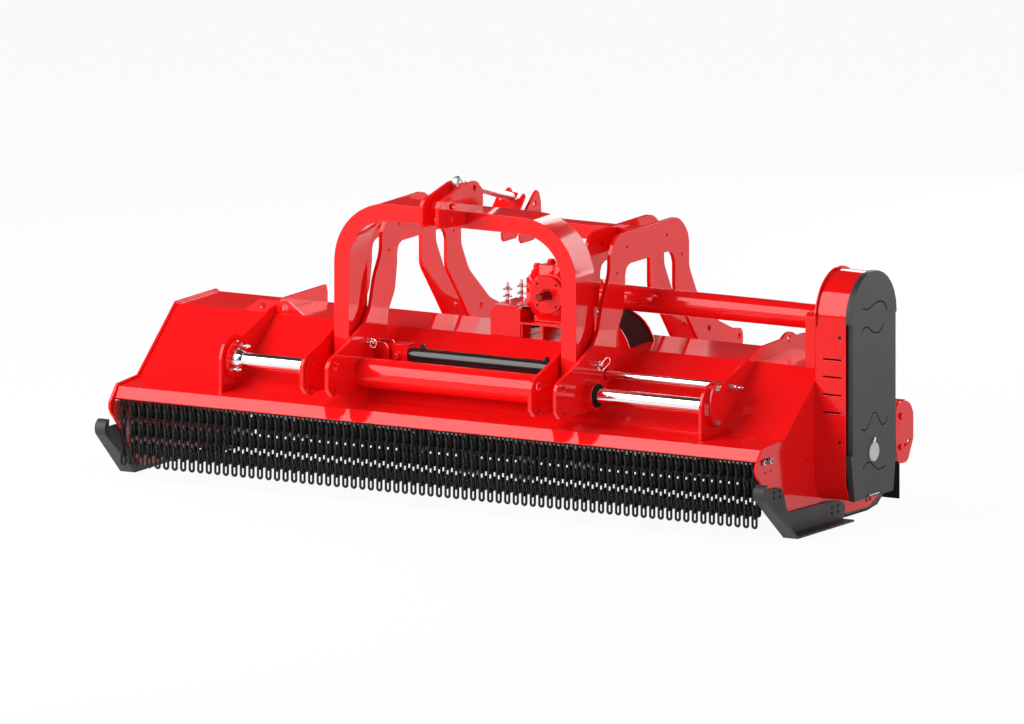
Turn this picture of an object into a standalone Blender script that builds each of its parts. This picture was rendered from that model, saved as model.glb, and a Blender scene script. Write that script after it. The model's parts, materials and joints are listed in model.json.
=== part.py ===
"""Hammer knife mower with a side-shifting reversible hitch. Metres, +X right, +Y rear, +Z up.

The origin is on the ground, in the middle of the overall width and length. Distances named
"from left" run along +X from the outer face of the left end plate.
"""

import math

import bmesh
import bpy
from mathutils import Matrix, Vector

# General fits and walls
GAP = 0.0003
RUNNING = 0.0005
SHEET = 0.006
END_PLATE = 0.010
PROUD = 0.008
SINK = 0.004

# Overall stack along X
HOUSING_WIDTH = 2.865
SOLE_WIDTH = 0.066
CASE_DEPTH = 0.135
COVER_DEPTH = 0.030

# Hood section, front to rear
LIP_Y = -0.635
LIP_HEIGHT = 0.322
LIP_RUN = 0.031
LIP_RISE = 0.042
SHELF_DEPTH = 0.164
SHELF_RISE = 0.010
SLOPE_RUN = 0.296
HOOD_HEIGHT = 0.614
FLAT_DEPTH = 0.312
TAIL_RUN = 0.250
TAIL_DROP = 0.222

# End plates: the jaw in front of the lip, the toe, the heel and the step by the tailgate
JAW_TOP = (0.039, 0.023)
JAW_BOTTOM = (0.014, 0.062)
JAW_R = 0.020
PLATE_BOTTOM = 0.019
PLATE_TOE_Y = -0.596
PLATE_TOE_Z = 0.209
PLATE_TOE_RUN = 0.176
PLATE_HEEL_Y = 0.215
HEEL_RUN = 0.150
HEEL_RISE = 0.065
HEEL_R = 0.120
WAIST_BACK = 0.035
WAIST_DROPS = (0.140, 0.060)
WAIST_LEAN = 0.004
PIVOT_CHEEK = (0.026, 0.022)
TAIL_OVER = (0.012, 0.002)
PLATE_HOLE_R = 0.006
PLATE_HOLES = ((0.039, -0.047), (0.086, -0.046), (0.362, -0.047))

# Rotor with its hammers
ROTOR_Y = -0.030
ROTOR_Z = 0.2845
ROTOR_TUBE_R = 0.100
ROTOR_REACH = 0.245
ROTOR_SHAFT_R = 0.030
ROTOR_END_GAP = 0.035
HAMMERS = 28
HAMMER_HEAD = 0.090
HAMMER_NECK = 0.040
HAMMER_THICK = 0.026
HAMMER_SHANK = 0.012
HAMMER_FLARE = 0.035
HAMMER_MARGIN = 0.010
LUG_HEIGHT = 0.050
LUG_THICK = 0.012
LUG_DEPTH = 0.044
LUG_ROOT = 0.010
BEARING_R = 0.085
BEARING_DEPTH = 0.038
BEARING_RIM = 0.014
BEARING_STEP = 0.020
BEARING_SHOULDER_R = 0.061
BEARING_NECK_R = 0.056
SHAFT_END_SHORT = 0.012
KNIFE_FROM_REACH = 0.060
KNIFE_RISE = 0.090
KNIFE_DEPTH = 0.030
KNIFE_FOOT = 0.014
KNIFE_WALL = 0.012

# Drive train
DRIVE_RISE = 0.175
DRIVE_TUBE_R = 0.049
DRIVE_TUBE_WALL = 0.006
DRIVE_SHAFT_R = 0.020
LOWER_PULLEY_R = 0.105
UPPER_PULLEY_R = 0.130
PULLEY_WIDTH = 0.070
PULLEY_AIR = 0.012
PULLEY_HUB = 0.018
PULLEY_RIM = 0.026
GROOVE_DEPTH = 0.010
BELTS = 4
BELT_THICK = 0.012
BELT_RIDE = 0.002
BELT_INSET = 0.004
WEB_INSET = 0.020
GEARBOX_ASIDE = 0.2075
GEARBOX_R = 0.111
GEARBOX_LENGTH = 0.190
GEARBOX_WALL = 0.012
GEARBOX_CHAMFER = 0.012
GEARBOX_FOOT_HALF = 0.075
GEARBOX_FOOT_TOP = 0.060
CREST_LEFT = 0.045
CREST_RIGHT = 0.030
CREST_HALF = 0.050
CREST_TOP = 0.122
PLUG_R = 0.014
PLUG_TOP = 0.140
FLANGE_R = 0.074
FLANGE_DEPTH = 0.014
FLANGE_HOLES = 4
FLANGE_HOLE_R = 0.006
FLANGE_HOLE_PCD_R = 0.059
INPUT_SHAFT_R = 0.0175
INPUT_STUB = 0.062
SPLINE_INSET = 0.001
SPLINE_DEPTH = 0.004
SHAFT_STEP = 0.008
SPLINES = 6
SPLINE_TOOTH = 0.25
SPLINE_ROOT = (0.3, 0.7)
NECK_R = 0.062
NECK_LENGTH = 0.060
NECK_START = 0.050
COLLAR_DEPTH = 0.012
CHAMBER_AIR = 0.012
BORE_AIR = 0.004
CUT_OVER = 0.020
CROWN_R = 0.070
CROWN_DEPTH = 0.014
CROWN_SLANT = 0.022
PINION_R = 0.040
PINION_DEPTH = 0.022
PINION_SLANT = 0.009
STAND_RISE = 0.061
STAND_PLATE = 0.008
STAND_ASIDE = 0.120
STAND_WIDTH = 0.250
STAND_FRONT_Y = -0.145
STAND_DEPTH = 0.230
STAND_INSET = 0.006
STAND_MIDDLE_LEG = 0.098
PEDESTAL_WIDTH = 0.126
PEDESTAL_DEPTH = 0.170
PEDESTAL_HEIGHT = 0.116
STUD_R = 0.006
STUD_HEIGHT = 0.080
STUD_NUTS = (0.018, 0.046)
STUD_PLACES = ((0.090, 0.074), (0.075, 0.157))
NUT_R = 0.013
NUT_DEPTH = 0.010
BRACKET_WIDTH = 0.044
BRACKET_OVER = 0.048
BRACKET_CHAMFER = 0.030

# Belt case and its cover
CASE_R = 0.175
CASE_FRONT_CORNER = 0.030
CASE_BOTTOM = 0.112
CASE_FOOT_RISE = 0.060
CASE_WALL = 0.005
CASE_TOP_OVER = 0.023
SLOT_PITCH = 0.069
SLOT_DROP = 0.129
SLOT_LENGTH = 0.080
SLOT_HEIGHT = 0.006
SLOT_INSET = 0.034
CASE_SLOTS = 4
COVER_OVERLAP = 0.004
COVER_STEP_OVER = 0.015
COVER_STEP_UNDER = 0.0075
COVER_STEP = 0.016
COVER_REAR_STEP = 0.008
COVER_FOOT_Z = 0.110
COVER_FOOT_FRONT = 0.030
COVER_FOOT_REAR = 0.026
COVER_SHEET = 0.010
DISC_R = 0.0375
DISC_THICK = 0.003
DISC_HEAD = 0.002
DISC_HEAD_R = 0.010
DISC_PIVOT_UP = 0.046

# Guide rod and the plates that carry it
GUIDE_Y = -0.465
GUIDE_RISE = 0.111
GUIDE_ROD_R = 0.030
GUSSET = 0.012
GUSSET_LEFT = 0.436
GUSSET_FROM_RIGHT = 0.307
GUSSET_RISE = 0.048
GUSSET_REAR_RUN = 0.100
GUSSET_REAR_CHAMFER = (0.008, 0.030)
GUSSET_CREST_Y = -0.095
ROD_PLATE_R = 0.097
ROD_FLANGE_R = 0.073
ROD_FLANGE_DEPTH = 0.016
ROD_BOLTS = 3
ROD_BOLT_R = 0.008
ROD_BOLT_PCD_R = 0.056
ROD_BOLT_LONG = 0.030
ROD_BOLT_SHORT = 0.012
RIB_REACH = 0.129
RIB_Y = -0.139
RIB_SHEET = 0.008
RIB_HOLE_R = 0.014
RIB_HOLE_ASIDE = 0.048
EYE_Y = 0.125
EYE_R = 0.085
EYE_DROP = 0.060
EYE_HOLE_R = 0.014

# Carriage with its four hitch plates
CARRIAGE_ASIDE = 0.048
LINK_SPACING = 1.0085
PAIR_GAP = 0.096
HITCH_PLATE = 0.015
FRONT_REACH_Y = -0.726
REAR_REACH_Y = 0.731
TOWER_RISE = 0.461
PLATE_FOOT = 0.068
FRONT_HOLES = ((0.058, 0.122, 0.0185), (0.058, 0.022, 0.011))
REAR_HOLES = ((0.031, 0.543, 0.014), (0.265, 0.475, 0.014))
SMALL_HOLES = ((-0.175, 0.058), (0.137, 0.060), (0.2535, 0.152), (-0.253, 0.147))
SMALL_HOLE_R = 0.007
TUBE_R = 0.0575
TUBE_WALL = 0.008
TUBE_OVERHANG = 0.036
SEAL_DEPTH = 0.004
SEAL_R = 0.046
SEAL_LIP = 0.043
BUSH_LENGTH = 0.120
ARCH_WIDTH = 1.070
ARCH_BAR = 0.066
ARCH_DEPTH = 0.145
ARCH_FRONT_Y = -0.516
ARCH_OVER_TOWER = 0.087
ARCH_BEND_R = 0.240
CROSS_TUBE_DEPTH = 0.066
CROSS_TUBE_HEIGHT = 0.058
CROSS_TUBE_Y = -0.027
CROSS_TUBE_DROP = 0.009
TOP_HITCH_GAP = 0.057
TOP_HITCH_PLATE = 0.014
TOP_HITCH_ASIDE = 0.0075
TOP_HITCH_FRONT_Y = -0.732
TOP_HITCH_REAR_Y = -0.385
TOP_HITCH_RISE = 0.110
TOP_HITCH_NOSE = 0.065
TOP_HITCH_SHOULDER = 0.068
TOP_HITCH_CHIN = 0.035
TOP_HITCH_HOOK = 0.050
TOP_HITCH_BACK = 0.050
TOP_HITCH_CREST = 0.080
TOP_SLOT = (0.107, 0.037, 0.012)
TOP_LOWER_PIN_DROP = 0.018
TOP_REAR_PIN = (0.067, 0.083)
BRACKET_HALF = 0.065
BRACKET_FACE = 0.010
BRACKET_AIR = 0.004
BRACKET_UP = 0.011
BRACKET_SHOULDER = 0.070
BRACKET_HEIGHT = 0.098
BRACKET_HOLE_R = 0.009
NOTCH_OUTER = 0.034
NOTCH_INNER = 0.014
NOTCH_FLOOR = 0.009
NOTCH_DEPTH = 0.015
CHEEK = 0.012
CHEEK_DEPTH = 0.108
CHEEK_TOP = 0.095
CHEEK_HANG = 0.040
CHEEK_TAPER = 0.008
CHEEK_PIN = (0.014, 0.039)
TOP_PIN_R = 0.0135
BALL_R = 0.024
TIE_ROD_R = 0.017
TIE_ROD_FRONT_Y = -0.505
TIE_ROD_FRONT_UP = 0.111
TIE_ROD_REAR_UP = 0.080

# Side-shift cylinder
CYLINDER_BACK = 0.130
CYLINDER_UP = 0.059
BARREL_R = 0.030
BARREL_WALL = 0.005
BARREL_AIR = 0.06825
BARREL_LENGTH = 0.670
BARREL_END = 0.020
GLAND_LENGTH = 0.035
GLAND_RIM = 0.003
PORT_FROM_LEFT = 0.053
PORT_R = 0.010
PORT_UP = 0.016
PISTON_ROD_R = 0.016
PISTON_DEPTH = 0.030
PISTON_FROM_GLAND = 0.251
PISTON_NUT = 0.014
LUG_HALF = 0.036
LUG_LOW_FRONT = 0.030
LUG_LOW_REAR = 0.010
LUG_HIGH = 0.045
PIN_BACK = 0.160
PIN_UP = 0.090
PIN_R = 0.010
HANDLE_R = 0.005
HANDLE_REACH = (0.012, 0.055)

# Chain rows
CHAIN_PITCH_X = 0.0377
LINK_PITCH = 0.043
LINK_WIRE = 0.009
LINK_WIDTH = 0.030
FRONT_LINKS = 6
REAR_LINKS = 4
FRONT_SWELLS = 4
REAR_SWELLS = 1
CHAIN_ROD_R = 0.007
CHAIN_ROD_SLACK = 0.005
CHAIN_SLOT_ENDS = 0.006
CHAIN_ROD_DROP = 0.004
FRONT_CHAIN_BACK = 0.024
CHAIN_ROW_GAP = 0.048
REAR_CHAIN_PITCH_X = 2 * CHAIN_PITCH_X
CHAIN_MARGIN = 0.026
CHAIN_ROD_STUB = 0.014

# Skids
SKID_PLATE = 0.008
SOLE = 0.008
SOLE_SINK = 0.003
WALL_INSET = 0.0005
SKID_FRONT_Y = -0.455
SKID_REAR_Y = -0.015
SKID_NOSE = 0.232
SKID_CURL = (0.004, 0.016)
SKID_LUG_TOP = 0.085
SKID_HOLE_R = 0.006
FRONT_SKID_HEEL = ((-0.001, 0.082), (-0.006, 0.010), (-0.016, 0.0), (-0.085, 0.0), (-0.110, 0.033))
FRONT_SKID_RISE = ((0.055, 0.033), (0.020, -0.005))
FRONT_SKID_LUG = ((-0.005, 0.035), (-0.025, 0.025), (-0.140, 0.022))
FRONT_SKID_HOLES = ((-0.086, 0.040), (-0.039, 0.040), (-0.086, 0.064), (-0.039, 0.064))
LUG_HOLES = ((0.074, 0.017), (0.027, 0.017), (0.074, 0.041), (0.027, 0.041))
REAR_LUG_INSET = 0.003
REAR_SKID_Y = 0.025
REAR_SKID_LENGTH = 0.260
REAR_SKID_TAIL = 0.117
REAR_SKID_RISE = 0.048
REAR_SKID_WALL = (0.004, 0.030, 0.020, 0.010)

# Tailgate and flap
PIVOT_Y = 0.456
PIVOT_Z = 0.333
PIVOT_R = 0.008
GUIDE_ARC_R = 0.120
GUIDE_ARC_LOW = -94.0
GUIDE_ARC_SWEEP = 36.0
GUIDE_ARC_REST = 2.0
GUIDE_BOLT_R = 0.006
BOLT_HEAD = 0.006
BOLT_HEAD_DEPTH = 0.008
TAILGATE_Y = 0.545
TAILGATE_BOTTOM = 0.152
TAILGATE_TOP = (0.030, 0.055)
TAILGATE_FOLD_UP = 0.005
TAILGATE_FOLD_DOWN = 0.085
TAILGATE_FOOT_IN = 0.045
TAILGATE_SHEET = 0.005
TAILGATE_EAR = 0.006
WEB_FRONT = 0.030
WEB_BOTTOM = 0.140
WEB_INSET_Y = 0.002
EAR_FRONT = 0.041
EAR_REAR = 0.005
EAR_BELOW = 0.004
EAR_CUT = 0.050
EAR_TOP = 0.057
EAR_WAIST = (0.120, 0.100, 0.020)
FLAP = 0.007
FLAP_BOTTOM = 0.005
FLAP_OVERLAP = 0.045
FLAP_AIR = 0.010
STRIP = 0.006
STRIP_HEIGHT = 0.035
STRIP_INSET = 0.020

# Heights and places that follow from the sizes above
SHELF_Z = LIP_HEIGHT + LIP_RISE + SHELF_RISE
SHELF_Y = LIP_Y + LIP_RUN + SHELF_DEPTH
FLAT_Y = SHELF_Y + SLOPE_RUN
TAIL_Y = FLAT_Y + FLAT_DEPTH
DRIVE_Z = HOOD_HEIGHT + DRIVE_RISE
STAND_PLATE_Z = HOOD_HEIGHT + STAND_RISE
BRACKET_TOP = DRIVE_Z + BRACKET_OVER
SLOT_TOP_Z = DRIVE_Z - SLOT_DROP
COVER_STEP_TOP = DRIVE_Z + COVER_STEP_OVER
COVER_STEP_BOTTOM = ROTOR_Z + COVER_STEP_UNDER
GUIDE_Z = SHELF_Z + GUIDE_RISE
GUSSET_TOP = HOOD_HEIGHT + GUSSET_RISE
GUSSET_RIGHT = HOUSING_WIDTH - GUSSET_FROM_RIGHT
GEARBOX_FROM_LEFT = HOUSING_WIDTH / 2 + GEARBOX_ASIDE
STAND_LEFT = GEARBOX_FROM_LEFT - STAND_ASIDE
CARRIAGE_FROM_LEFT = (GUSSET_LEFT + GUSSET_RIGHT) / 2 - CARRIAGE_ASIDE
PLATE_ASIDE = LINK_SPACING / 2 - PAIR_GAP / 2 - HITCH_PLATE
BARREL_LEFT = CARRIAGE_FROM_LEFT + PLATE_ASIDE - BARREL_AIR - BARREL_LENGTH
CYLINDER_Y = GUIDE_Y + CYLINDER_BACK
CYLINDER_Z = GUIDE_Z + CYLINDER_UP
TOWER_TOP = HOOD_HEIGHT + TOWER_RISE
TOWER_FOOT = GUIDE_Z - PLATE_FOOT
ARCH_TOP = TOWER_TOP + ARCH_OVER_TOWER
ARCH_FOOT_Z = GUIDE_Z + TUBE_R + GAP
CROSS_TUBE_TOP = TOWER_TOP - CROSS_TUBE_DROP
CHAIN_ROD_Z = LIP_HEIGHT - CHAIN_ROD_DROP
FRONT_CHAIN_Y = LIP_Y + FRONT_CHAIN_BACK
REAR_CHAIN_Y = FRONT_CHAIN_Y + CHAIN_ROW_GAP
CASE_OUTER_FACE = GAP + CASE_DEPTH + GAP + COVER_DEPTH
OVERALL_WIDTH = SOLE_WIDTH + HOUSING_WIDTH + CASE_OUTER_FACE
LEFT_FACE = -OVERALL_WIDTH / 2 + SOLE_WIDTH
HOOD_LINE = [
    (LIP_Y, LIP_HEIGHT),
    (LIP_Y + LIP_RUN, LIP_HEIGHT + LIP_RISE),
    (SHELF_Y, SHELF_Z),
    (FLAT_Y, HOOD_HEIGHT),
    (TAIL_Y, HOOD_HEIGHT),
    (TAIL_Y + TAIL_RUN, HOOD_HEIGHT - TAIL_DROP),
]
TAIL_END = HOOD_LINE[-1]

# Hitch plate outline as (Y, Z, radius): the front and the foot rise from the foot line, the rest
# hangs from the tower's top. Y is measured from the front reach, the rear reach or the origin.
PLATE_NOSE = (
    (0.0, 0.008, 0.030),
    (0.0, 0.143, 0.030),
    (0.054, 0.162, 0.040),
    (0.156, 0.195, 0.100),
    (0.286, 0.251, 0.080),
    (0.331, 0.303, 0.080),
)
PLATE_FRONT_LEG = ((-0.360, 0.237, 0.150), (-0.305, 0.145, 0.100), (-0.305, 0.070, 0.060))
PLATE_CROWN = (
    (-0.250, 0.0, 0.070),
    (0.225, 0.0, 0.090),
    (0.3105, 0.070, 0.090),
    (0.3105, 0.209, 0.070),
    (0.373, 0.320, 0.080),
    (0.536, 0.455, 0.100),
    (0.650, 0.502, 0.100),
)
PLATE_TAIL = ((0.0, 0.516, 0.020), (0.0, 0.583, 0.025), (-0.040, 0.610, 0.030))
PLATE_WINDOW = (
    (0.580, 0.600, 0.050),
    (0.415, 0.548, 0.100),
    (0.315, 0.423, 0.100),
    (0.201, 0.286, 0.060),
    (0.201, 0.126, 0.050),
    (-0.188, 0.126, 0.050),
    (-0.188, 0.205, 0.060),
    (-0.205, 0.310, 0.080),
    (-0.258, 0.385, 0.080),
)
PLATE_SOLE = ((-0.270, 0.137, 0.040), (-0.425, 0.002, 0.010), (-0.450, 0.0, 0.020))

# Colour, roughness and metallic value of each finish
FINISHES = {
    "red_paint": ((0.78, 0.012, 0.012), 0.25, 0.0),
    "black_paint": ((0.012, 0.012, 0.013), 0.35, 0.0),
    "dark_steel": ((0.055, 0.055, 0.058), 0.5, 0.0),
    "bright_steel": ((0.72, 0.72, 0.74), 0.15, 1.0),
    "zinc_steel": ((0.55, 0.55, 0.53), 0.35, 1.0),
    "raw_steel": ((0.20, 0.19, 0.18), 0.5, 1.0),
    "cast_iron": ((0.10, 0.10, 0.10), 0.7, 0.3),
    "bronze": ((0.52, 0.33, 0.12), 0.4, 1.0),
    "rubber": ((0.015, 0.015, 0.015), 0.85, 0.0),
    "pale_steel": ((0.62, 0.62, 0.62), 0.4, 0.2),
}


def clear_scene():
    for old in list(bpy.data.objects):
        bpy.data.objects.remove(old, do_unlink=True)


def from_left(distance):
    return LEFT_FACE + distance


# Outlines

def arc(centre, radius, start, end, steps):
    """Points of a circular arc, in degrees from the first axis."""
    points = []
    for step in range(steps + 1):
        angle = math.radians(start + (end - start) * step / steps)
        points.append((centre[0] + radius * math.cos(angle), centre[1] + radius * math.sin(angle)))
    return points


def circle(centre, radius, sides=16):
    """A regular outline with a flat, not a corner, on each axis, as turned pieces have."""
    half = 180.0 / sides
    return arc(centre, radius, half, 360.0 - half, sides - 1)


def rounded(corners):
    """A closed outline from (a, b, radius) corners, each turned into an arc."""
    points = []
    for index, (a, b, radius) in enumerate(corners):
        here = Vector((a, b))
        if radius <= 0:
            points.append((a, b))
            continue
        before = Vector(corners[index - 1][:2]) - here
        after = Vector(corners[(index + 1) % len(corners)][:2]) - here
        half = before.angle(after) / 2
        reach = min(radius / math.tan(half), 0.49 * before.length, 0.49 * after.length)
        middle = here + (before.normalized() + after.normalized()).normalized() * (
            reach / math.cos(half)
        )
        first = here + before.normalized() * reach - middle
        last = here + after.normalized() * reach - middle
        turn = first.angle_signed(last)
        steps = 1 if radius < 0.045 else 2
        for step in range(steps + 1):
            angle = -turn * step / steps
            points.append(
                (
                    middle.x + first.x * math.cos(angle) - first.y * math.sin(angle),
                    middle.y + first.x * math.sin(angle) + first.y * math.cos(angle),
                )
            )
    return points


def offset_line(line, distance):
    """The open line moved sideways to its left by a distance, with mitred corners."""
    points = [Vector(point) for point in line]
    moved = []
    for index, point in enumerate(points):
        ahead = points[min(index + 1, len(points) - 1)] - points[min(index, len(points) - 2)]
        behind = points[max(index, 1)] - points[max(index - 1, 0)]
        left_ahead = Vector((-ahead.y, ahead.x)).normalized()
        left_behind = Vector((-behind.y, behind.x)).normalized()
        mitre = (left_ahead + left_behind).normalized()
        moved.append(tuple(point + mitre * (distance / mitre.dot(left_ahead))))
    return moved


def running_bore(radius, sides=16):
    """Radius of a bore whose flats clear the corners of a shaft that turns in it."""
    return radius / math.cos(math.pi / sides) + RUNNING


def on_circle(centre, radius, angle):
    turn = math.radians(angle)
    return (centre[0] + radius * math.cos(turn), centre[1] + radius * math.sin(turn))


def hood_height(y):
    """Height of the hood's outer surface at a place along Y."""
    for (y0, z0), (y1, z1) in zip(HOOD_LINE, HOOD_LINE[1:]):
        if y0 <= y <= y1:
            return z0 + (z1 - z0) * (y - y0) / (y1 - y0)
    return HOOD_LINE[-1][1]


# Solids

def finish(name, bm, surface):
    bmesh.ops.recalc_face_normals(bm, faces=bm.faces)
    mesh = bpy.data.meshes.new(name)
    bm.to_mesh(mesh)
    bm.free()
    obj = bpy.data.objects.new(name, mesh)
    bpy.context.scene.collection.objects.link(obj)
    paint(obj, surface)
    return obj


def paint(obj, surface):
    colour, roughness, metallic = FINISHES[surface]
    material = bpy.data.materials.new(obj.name)
    material.use_nodes = True
    shader = material.node_tree.nodes["Principled BSDF"]
    shader.inputs["Base Color"].default_value = (*colour, 1.0)
    shader.inputs["Roughness"].default_value = roughness
    shader.inputs["Metallic"].default_value = metallic
    obj.data.materials.clear()
    obj.data.materials.append(material)


def in_space(axis, flat, along):
    """A point of a flat outline, placed at a distance along the axis that it is extruded on."""
    a, b = flat
    return {"X": (along, a, b), "Y": (a, along, b), "Z": (a, b, along)}[axis]


def plate(name, axis, outline, low, high, surface, holes=()):
    """A flat piece between two distances along an axis, with holes through it."""
    bm = bmesh.new()
    loops = []
    for loop in (outline, *holes):
        bottom = [bm.verts.new(in_space(axis, point, low)) for point in loop]
        top = [bm.verts.new(in_space(axis, point, high)) for point in loop]
        loops.append((bottom, top))
    edges = []
    for bottom, _ in loops:
        edges += [bm.edges.new((bottom[i - 1], bottom[i])) for i in range(len(bottom))]
    filled = bmesh.ops.triangle_fill(bm, use_beauty=True, use_dissolve=False, edges=edges)
    faces = [item for item in filled["geom"] if isinstance(item, bmesh.types.BMFace)]
    above = {low_vert: high_vert for loop in loops for low_vert, high_vert in zip(*loop)}
    for face in faces:
        bm.faces.new([above[vert] for vert in reversed(face.verts)])
    for bottom, top in loops:
        for i in range(len(bottom)):
            bm.faces.new((bottom[i - 1], bottom[i], top[i], top[i - 1]))
    return finish(name, bm, surface)


def block(name, low, high, surface):
    outline = [(low[0], low[1]), (high[0], low[1]), (high[0], high[1]), (low[0], high[1])]
    return plate(name, "Z", outline, low[2], high[2], surface)


def turned(name, start, direction, profile, surface, sides=16, hollow=False):
    """A turned piece: (distance along, radius) points spun about a line from its start."""
    along = Vector(direction).normalized()
    across = Vector((0, 1, 0)) if abs(along.x) > 0.9 else Vector((1, 0, 0))
    other = along.cross(across).normalized()
    side = other.cross(along)
    start = Vector(start)
    bm = bmesh.new()
    rings = []
    for distance, radius in profile:
        centre = start + along * distance
        if radius == 0:
            rings.append([bm.verts.new(centre)] * sides)
            continue
        ring = []
        for step in range(sides):
            angle = 2 * math.pi * (step + 0.5) / sides
            outward = side * math.cos(angle) + other * math.sin(angle)
            ring.append(bm.verts.new(centre + outward * radius))
        rings.append(ring)
    pairs = list(zip(rings, rings[1:]))
    if hollow:
        pairs.append((rings[-1], rings[0]))
    for first, second in pairs:
        for i in range(sides):
            corners = dict.fromkeys((first[i - 1], first[i], second[i], second[i - 1]))
            if len(corners) > 2:
                bm.faces.new(list(corners))
    for ring in (rings[0], rings[-1]):
        if not hollow and ring[0] is not ring[1]:
            bm.faces.new(ring)
    piece = finish(name, bm, surface)
    piece.data.shade_smooth()
    piece.data.set_sharp_from_angle(angle=math.radians(35))
    return piece


def rod(name, start, end, radius, surface, sides=16):
    length = (Vector(end) - Vector(start)).length
    profile = [(0, radius), (length, radius)]
    return turned(name, start, Vector(end) - Vector(start), profile, surface, sides)


def combined(base, others, operation):
    """The base joined to, or cut by, other solids, which are used up."""
    for other in others:
        other.hide_render = True
        other.display_type = "WIRE"
        modifier = base.modifiers.new(operation.title(), "BOOLEAN")
        modifier.operation = operation
        modifier.object = other
    graph = bpy.context.evaluated_depsgraph_get()
    mesh = bpy.data.meshes.new_from_object(base.evaluated_get(graph))
    base.modifiers.clear()
    base.data = mesh
    for other in others:
        bpy.data.objects.remove(other, do_unlink=True)
    return base


def joined(base, *others):
    return combined(base, others, "UNION")


def cut(base, *others):
    return combined(base, others, "DIFFERENCE")


def gathered(name, pieces, surface):
    """Several separate shapes in one mesh, ready to be joined to what carries them."""
    bm = bmesh.new()
    for piece in pieces:
        bm.from_mesh(piece.data)
        bpy.data.objects.remove(piece, do_unlink=True)
    return finish(name, bm, surface)


def carried(name, pivot, pieces):
    """Pieces hung on an empty at their joint, with their origins on it."""
    empty = bpy.data.objects.new(name, None)
    empty.location = pivot
    bpy.context.scene.collection.objects.link(empty)
    for piece in pieces:
        piece.data.transform(Matrix.Translation(-Vector(pivot)))
        piece.parent = empty
    return empty


# Housing

def hood_shell():
    outline = HOOD_LINE + offset_line(HOOD_LINE, -SHEET)[::-1]
    left = from_left(END_PLATE + GAP)
    right = from_left(HOUSING_WIDTH - END_PLATE - GAP)
    return plate("hood_shell", "X", outline, left, right, "red_paint")


def end_plate_outline():
    """The hood's section standing proud, a jaw in front of the lip, and a foot down to the skids."""
    top = offset_line(HOOD_LINE, PROUD)[1:-1]
    front = [(y, z, 0.0) for y, z in reversed(top)]
    jaw = [
        (LIP_Y - JAW_TOP[0], LIP_HEIGHT - JAW_TOP[1], JAW_R),
        (LIP_Y - JAW_BOTTOM[0], LIP_HEIGHT - JAW_BOTTOM[1], JAW_R),
        (PLATE_TOE_Y, PLATE_TOE_Z, 0.0),
    ]
    waist = PIVOT_Y - WAIST_BACK
    cheek = PIVOT_Y + PIVOT_CHEEK[0]
    foot = [
        (PLATE_TOE_Y + PLATE_TOE_RUN, PLATE_BOTTOM, 0.0),
        (PLATE_HEEL_Y, PLATE_BOTTOM, 0.0),
        (PLATE_HEEL_Y + HEEL_RUN, PLATE_BOTTOM + HEEL_RISE, HEEL_R),
        (waist - WAIST_LEAN, PIVOT_Z - WAIST_DROPS[0], HEEL_R / 2),
        (waist + WAIST_LEAN, PIVOT_Z - WAIST_DROPS[1], HEEL_R / 3),
        (cheek, PIVOT_Z - PIVOT_CHEEK[1], JAW_R),
        (cheek, PIVOT_Z + PIVOT_CHEEK[1], JAW_R),
        (TAIL_END[0] + TAIL_OVER[0], TAIL_END[1] + TAIL_OVER[1], 0.0),
    ]
    return rounded(front + jaw + foot)


def guide_slot(radius):
    """Outline of the curved slot that the tailgate swings along."""
    low = GUIDE_ARC_LOW
    high = low + GUIDE_ARC_SWEEP
    pivot = (PIVOT_Y, PIVOT_Z)
    outer = arc(pivot, GUIDE_ARC_R + radius, low, high, 5)
    inner = arc(pivot, GUIDE_ARC_R - radius, high, low, 5)
    far = on_circle(pivot, GUIDE_ARC_R, high)
    near = on_circle(pivot, GUIDE_ARC_R, low)
    far_cap = arc(far, radius, high, high + 180, 3)[1:-1]
    near_cap = arc(near, radius, low + 180, low + 360, 3)[1:-1]
    return outer + far_cap + inner + near_cap


def chain_rod_slot():
    """The slot in each end plate that both chain rods pass through."""
    radius = CHAIN_ROD_R + CHAIN_ROD_SLACK
    front = arc((FRONT_CHAIN_Y - CHAIN_SLOT_ENDS, CHAIN_ROD_Z), radius, 90, 270, 4)
    rear = arc((REAR_CHAIN_Y + CHAIN_SLOT_ENDS, CHAIN_ROD_Z), radius, -90, 90, 4)
    return front + rear


def end_plate(name, low):
    holes = [
        circle((ROTOR_Y, ROTOR_Z), ROTOR_SHAFT_R + 2 * BORE_AIR),
        circle((PIVOT_Y, PIVOT_Z), running_bore(PIVOT_R, 8), 8),
        chain_rod_slot(),
    ]
    for back, up in PLATE_HOLES:
        holes.append(circle((LIP_Y + back, LIP_HEIGHT + up), PLATE_HOLE_R, 6))
    return plate(name, "X", end_plate_outline(), low, low + END_PLATE, "red_paint", holes)


def gusset_outline(with_eye):
    """A rod plate: it stands on the hood, wraps round the rod and rises to a level top."""
    front_y = GUIDE_Y - ROD_PLATE_R
    rear_y = TAIL_Y + GUSSET_REAR_RUN
    chamfer_y, chamfer_z = GUSSET_REAR_CHAMFER
    foot = [(front_y, hood_height(front_y))]
    foot += [point for point in HOOD_LINE if front_y < point[0] < rear_y]
    foot += [(rear_y, hood_height(rear_y))]
    back = [(rear_y, GUSSET_TOP - chamfer_z), (rear_y - chamfer_y, GUSSET_TOP)]
    nose = arc((GUIDE_Y, GUIDE_Z), ROD_PLATE_R, 52, 180, 8)
    eye = arc((EYE_Y, GUSSET_TOP - EYE_DROP), EYE_R, 50, 130, 6) if with_eye else []
    return offset_line(foot, GAP) + back + eye + [(GUSSET_CREST_Y, GUSSET_TOP)] + nose


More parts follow.
